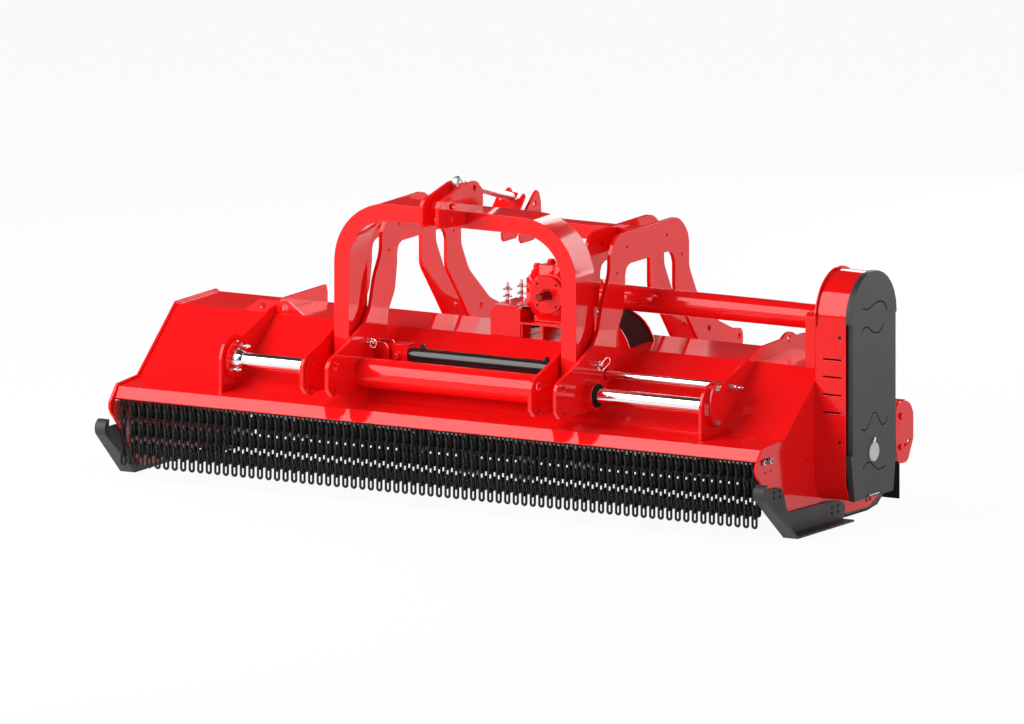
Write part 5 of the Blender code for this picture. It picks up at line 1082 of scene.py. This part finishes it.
def add_pins():
    """The linch pins beside the hitch plates, one with a ring and one with a long loop."""
    for plate, length, tilt, name in (("hitch_plate_2", 0.002, 20, "left"), ("hitch_plate_4", 0.034, 50, "right")):
        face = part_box(plate)[1].x
        y, z = -0.414, 0.597
        boss_line = [(0, 0), (0, 0.013), (0.004, 0.013), (0.010, 0.0105), (0.026, 0.0105), (0.030, 0.007), (0.030, 0)]
        boss = lathe((face, y, z), (1, 0, 0), boss_line, 32)
        nut = lathe((face + 0.006, y, z), (1, 0, 0), [(0, 0.006), (0, 0.0145), (0.009, 0.0145), (0.009, 0.006)], 6)
        loop = loop_handle((0, 0), 0.013, 0.0026, length)
        loop.data.transform(move(face + 0.025, y - 0.006, z - 0.010) @ turn(60, "Z") @ turn(tilt, "Y"))
        extra(merged(boss, nut, loop), "linch_pin_" + name, CHROME, plate, 0.0005)
    for node in ("handle_pin_left", "handle_pin_right"):
        low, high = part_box(node)
        y, z = GUIDE_Y + 0.160, GUIDE_Z + 0.090
        shank = cylinder((low.x, y, z), (high.x, y, z), 0.0098, 32)
        middle = (low.x + high.x) / 2
        grip = cylinder((middle, y, z), (middle, y + 0.012, z + 0.055), 0.005, 20)
        heads = [lathe((x, y, z), (1, 0, 0), [(0, 0), (0, 0.0130), (0.006, 0.0130), (0.006, 0)], 24) for x in (low.x + 0.002, high.x - 0.008)]
        remade(merged(shank, grip, *heads), node, CHROME, 0.0008)


def add_noses():
    """The long pad on the first hitch plate's nose, and the painted bolts through all four."""
    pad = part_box("hitch_plate_1")[1].x
    centre = (-0.668, 0.489)
    outline = [(centre[0] + 0.038 * math.cos(a), centre[1] + math.copysign(0.034, math.sin(a)) + 0.038 * math.sin(a)) for a in ring(32, 0.5)]
    extra(slab("X", outline, pad, pad + 0.006), "nose_pad", RED, "hitch_plate_1", 0.0012)
    for index in range(1, 5):
        node = "hitch_plate_%d" % index
        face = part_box(node)[1].x + (0.006 if index == 1 else 0)
        bolts("nose_bolts_%d" % index, [(face, -0.667, z) for z in (0.540, 0.438)], (1, 0, 0), 0.0062, node, RED)


def add_top_hitch():
    """The strut with its ball and collar, and the leaning notched plate that it runs to."""
    low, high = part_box("tie_rod")
    middle = (low.x + high.x) / 2
    front = Vector((middle, -0.505, 1.273))
    rear = Vector((middle, -0.055, 1.139))
    length = (rear - front).length
    ball = [(-0.0235 * math.cos(a), 0.0235 * math.sin(a)) for a in ring(13, 0, 150)]
    line = [*ball, (0.028, 0.0125), (0.034, 0.0125), (0.034, 0.0205), (0.046, 0.0205), (0.048, 0.0165), (length, 0.0165), (length, 0)]
    remade(lathe(front, rear - front, line, 48), "tie_rod", SATIN, 0.0006)
    low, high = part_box("rear_hitch_bracket")
    crown = [
        (0.062, 0.0),
        (0.062, 0.112),
        (0.054, 0.122),
        (0.046, 0.118),
        (0.040, 0.092),
        (0.028, 0.088),
        (0.022, 0.100),
        (0.024, 0.122),
        (-0.016, 0.126),
        (-0.022, 0.112),
        (-0.036, 0.112),
        (-0.040, 0.126),
        (-0.050, 0.130),
        (-0.058, 0.124),
        (-0.062, 0.0),
    ]
    plate = slab("Y", [(middle - 0.004 + x, 0.94 * z) for x, z in crown], -0.005, 0.005)
    cut_by(plate, [cylinder((middle - 0.040, -0.02, 0.082), (middle - 0.040, 0.02, 0.082), 0.0080, 24)])
    plate.data.transform(move(0, -0.150, 1.078) @ turn(-42, "X"))
    cheeks = []
    profile = [
        (-0.102, 1.0665),
        (0.030, 1.0665),
        (0.026, 1.120),
        (0.012, 1.158),
        (-0.002, 1.168),
        (-0.020, 1.160),
        (-0.100, 1.092),
    ]
    for x in (middle - 0.066, middle + 0.054):
        cheek = slab("X", profile, x, x + 0.012)
        cheeks.append(cut_by(cheek, [cylinder((x - 0.01, -0.020, 1.118), (x + 0.03, -0.020, 1.118), 0.0125, 24)]))
    lugs = []
    lug = [(-0.098, 1.0075), (-0.096, 0.984), (-0.082, 0.970), (0.010, 0.970), (0.032, 0.990), (0.032, 1.0075)]
    for x in (middle - 0.044, middle + 0.034):
        lugs.append(slab("X", lug, x, x + 0.010))
    remade(merged(plate, *cheeks, *lugs), "rear_hitch_bracket", RED, 0.0012)


SKID_LINE = ((-0.015, 0.0), (-0.455, 0.0), (-0.677, 0.178))
SKID_CURL = (-0.655, 0.205)
SKID_WALL = (
    (-0.024, 0.002),
    (-0.450, 0.003),
    (-0.654, 0.211),
    (-0.600, 0.212),
    (-0.581, 0.209),
    (-0.506, 0.204),
    (-0.484, 0.197),
    (-0.466, 0.180),
    (-0.455, 0.152),
    (-0.444, 0.119),
    (-0.430, 0.102),
    (-0.413, 0.095),
    (-0.109, 0.089),
    (-0.029, 0.080),
    (0.003, 0.066),
    (0.017, 0.046),
    (0.008, 0.008),
)
SKID_HOLES = (
    (-0.541, 0.190),
    (-0.494, 0.191),
    (-0.540, 0.168),
    (-0.494, 0.167),
    (-0.087, 0.062),
    (-0.040, 0.062),
    (-0.087, 0.040),
    (-0.040, 0.039),
)
REAR_WALL = (
    (0.050, 0.0),
    (0.220, 0.0),
    (0.300, 0.012),
    (0.345, 0.045),
    (0.370, 0.090),
    (0.370, 0.150),
    (0.245, 0.150),
    (0.235, 0.036),
    (0.050, 0.036),
)


def add_skids():
    """The front skids with curled noses, and the smaller ones inside the end plates behind them."""
    curl = [(SKID_CURL[0] + 0.035 * math.cos(a), SKID_CURL[1] + 0.035 * math.sin(a)) for a in ring(14, 231, 88)]
    line = [*SKID_LINE[:2], *curl]
    for side, outward in (("left", -1), ("right", 1)):
        low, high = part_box("front_skid_" + side)
        face = high.x if outward < 0 else low.x
        sole = slab("X", band(line, -0.008), *sorted((face, face + outward * 0.066)))
        pick(sole, "VERT", lambda vertex: vertex.co.y < -0.6 and abs(vertex.co.x - face) > 0.03)
        bpy.ops.transform.translate(value=(-outward * 0.020, 0, 0))
        bpy.ops.object.mode_set(mode="OBJECT")
        hidden = [(y * 0.992 + SKID_CURL[0] * 0.008, z) for y, z in curl]
        outline = [*SKID_WALL[:2], *hidden, *SKID_WALL[2:]]
        wall = slab("X", outline, *sorted((face + outward * 0.0005, face + outward * 0.0085)))
        remade(merged(sole, wall), "front_skid_" + side, SKID, 0.0012)
        heads = [socket_head((face + outward * 0.0085, y, z), (outward, 0, 0), 0.0075) for y, z in SKID_HOLES]
        extra(merged(*heads), "skid_bolts_" + side, HOLE_SHADE_BLACK, "front_skid_" + side, 0.0002)
        inner = face - outward * 0.0106
        wall = slab("X", REAR_WALL, *sorted((inner, inner - outward * 0.008)))
        under = slab("X", band(REAR_WALL[:5], 0.008), *sorted((inner, inner - outward * 0.060)))
        remade(merged(wall, under), "rear_skid_" + side, SKID, 0.0012)


add_camera()
add_lights()
add_floor()
add_chains()
add_guide()
add_rod_ends()
add_cylinder()
add_drive()
add_gearbox()
add_shaft()
add_cover()
add_case_detail()
add_stand()
add_saddle()
add_clevis()
add_pins()
add_noses()
add_top_hitch()
add_skids()
for name in NODES:
    if not NODES[name].hide_render:
        if name in SEEN_RED:
            dressed(name, RED)
        else:
            dressed(name, FINISH_OF[SLOT_OF[name]])
